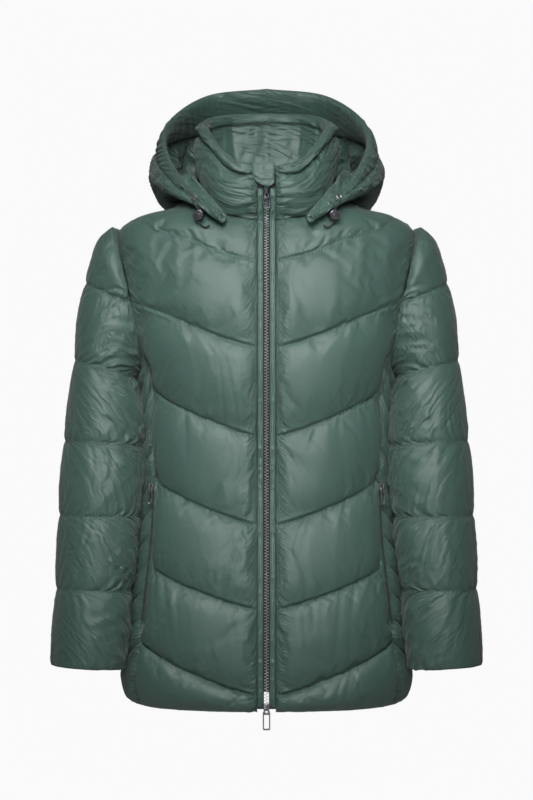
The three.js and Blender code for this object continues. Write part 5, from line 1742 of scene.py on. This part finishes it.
@dataclass(frozen=True)
class Studio:
    """A pale floor, a pale surround and soft lights above the front."""

    centre_height: float = 434
    front_depth: float = -130
    distance: float = 3600
    view_height: float = 1120
    floor_height: float = -700

    def camera(self) -> None:
        """The camera, level with the middle of the view."""
        data = bpy.data.cameras.new("camera")
        data.sensor_fit = "VERTICAL"
        data.sensor_height = 24
        data.lens = 12 / (self.view_height / 2 / self.distance)
        camera = linked("camera", data)
        camera.location = to_row(np.array([0, self.front_depth - self.distance, self.centre_height]))
        camera.rotation_euler = (math.pi / 2, 0, 0)
        bpy.context.scene.camera = camera

    def light(self, name: str, place: Sequence[float], aim: Sequence[float], size: tuple[float, float],
              power: float, spread: float = 180.0) -> None:
        """A soft box at a place, in metres, aimed at a point, its beam a spread of degrees wide."""
        data = bpy.data.lights.new(name, "AREA")
        data.shape = "RECTANGLE"
        data.size, data.size_y = size
        data.energy = power
        data.spread = math.radians(spread)
        lamp = linked(name, data)
        lamp.location = place
        lamp.rotation_euler = (Vector(aim) - Vector(place)).to_track_quat("-Z", "Y").to_euler()

    def floor(self) -> None:
        """A round pale floor that fades out at its edge."""
        bpy.ops.mesh.primitive_circle_add(vertices=96, radius=3.2, fill_type="NGON")
        floor = bpy.context.object
        floor.name = "floor"
        floor.location = (0, 0, float(to_row(np.array([0, 0, self.floor_height]))[2]))
        material = bpy.data.materials.new("floor_paper")
        material.use_nodes = True
        tree = material.node_tree
        shader = tree.nodes["Principled BSDF"]
        shader.inputs["Base Color"].default_value = linear("#F4F4F4")
        shader.inputs["Roughness"].default_value = 0.9
        place = node(tree, "ShaderNodeTexCoord").outputs["Object"]
        away = node(tree, "ShaderNodeVectorMath", {"operation": "LENGTH"})
        tree.links.new(place, away.inputs[0])
        fade = node(tree, "ShaderNodeMapRange", Value=away.outputs["Value"])
        fade.inputs["From Min"].default_value = 1.2
        fade.inputs["From Max"].default_value = 3.1
        fade.inputs["To Min"].default_value = 0.85
        fade.inputs["To Max"].default_value = 0.0
        clear = node(tree, "ShaderNodeBsdfTransparent")
        blend = node(tree, "ShaderNodeMixShader", Fac=fade.outputs["Result"])
        tree.links.new(clear.outputs["BSDF"], blend.inputs[1])
        tree.links.new(shader.outputs["BSDF"], blend.inputs[2])
        tree.links.new(blend.outputs["Shader"], tree.nodes["Material Output"].inputs["Surface"])
        floor.data.materials.append(material)

    def surround(self) -> None:
        """A near-white surround that lights the shadows softly."""
        world = bpy.data.worlds.new("surround")
        bpy.context.scene.world = world
        world.use_nodes = True
        tree = world.node_tree
        for old in list(tree.nodes):
            tree.nodes.remove(old)
        seen = node(tree, "ShaderNodeBackground", Color=linear("#FAFAFA"), Strength=1.0)
        glow = node(tree, "ShaderNodeBackground", Color=linear("#E9EEF2"), Strength=0.1)
        path = node(tree, "ShaderNodeLightPath")
        both = node(tree, "ShaderNodeMixShader", Fac=path.outputs["Is Camera Ray"])
        tree.links.new(glow.outputs["Background"], both.inputs[1])
        tree.links.new(seen.outputs["Background"], both.inputs[2])
        out = node(tree, "ShaderNodeOutputWorld")
        tree.links.new(both.outputs["Shader"], out.inputs["Surface"])

    def build(self) -> None:
        """The whole stage."""
        self.camera()
        self.surround()
        self.floor()
        self.light("key", (-0.14, -1.75, 1.1), (0, 0, -0.36), (1.0, 0.9), 50)
        self.light("front", (0.06, -2.4, 0.1), (0, 0, -0.33), (0.7, 0.7), 1.2, 22)
        bpy.context.scene.view_settings.view_transform = "Standard"


def settle(pieces: Sequence[QuiltedPiece]) -> None:
    """Runs the cloth of all the pieces together and takes the settled skins.

    Args:
        pieces: the quilted pieces.
    """
    scene = bpy.context.scene
    for piece in pieces:
        piece.start_cloth()
    scene.frame_start, scene.frame_end = 1, SIMULATED_FRAMES
    for number in range(1, SIMULATED_FRAMES + 1):
        scene.frame_set(number)
    graph = bpy.context.evaluated_depsgraph_get()
    for piece in pieces:
        piece.take_cloth(graph)
    scene.frame_set(1)


def main() -> None:
    """Builds and dresses the whole jacket."""
    logging.basicConfig(level=logging.INFO, format="%(message)s")
    Studio().build()
    nylon = SatinNylon().build()
    tape = WovenTape("herringbone_tape").build()
    braid = WovenTape("braided_cord", colour="#121316", rib_mm=1.0).build()
    gunmetal = PlatedZinc("gunmetal_plate", "#98969B", 0.36).build()
    bright = PlatedZinc("bright_teeth", "#D2D0D4", 0.42).build()
    black = PlatedZinc("black_plate", "#232226", 0.26).build()
    nickel = PlatedZinc("nickel_plate", "#8A8790", 0.2).build()
    thread = SewingThread().build()
    pieces = BodyPanels().build() + Sleeves().build() + Collar().build() + Hood().build()
    settle(pieces)
    for piece in pieces:
        piece.finish(nylon)
    closing = Closing()
    for side in ("left", "right"):
        closing.placket_strip(side).build(nylon)
        closing.tape_strip(side).build(tape)
        Pockets().welt_strip(side).build(nylon)
    closing.guard_strip().build(nylon)
    closing.teeth(bright)
    Hardware().build(black, gunmetal, nickel, braid)
    Sewing().build(pieces, thread)
    finish_of = {
        Slot.NYLON: nylon, Slot.TAPE: tape, Slot.CORD: braid, Slot.GUNMETAL: gunmetal, Slot.TOGGLE: nickel,
    }
    slots = {entry["node"]: entry["material_slot"] for entry in frame["record"]["subparts"]}
    for name, cad in frame["nodes"].items():
        cad.data.materials.clear()
        cad.data.materials.append(finish_of[Slot(slots[name])])


if __name__ == "__main__":
    main()
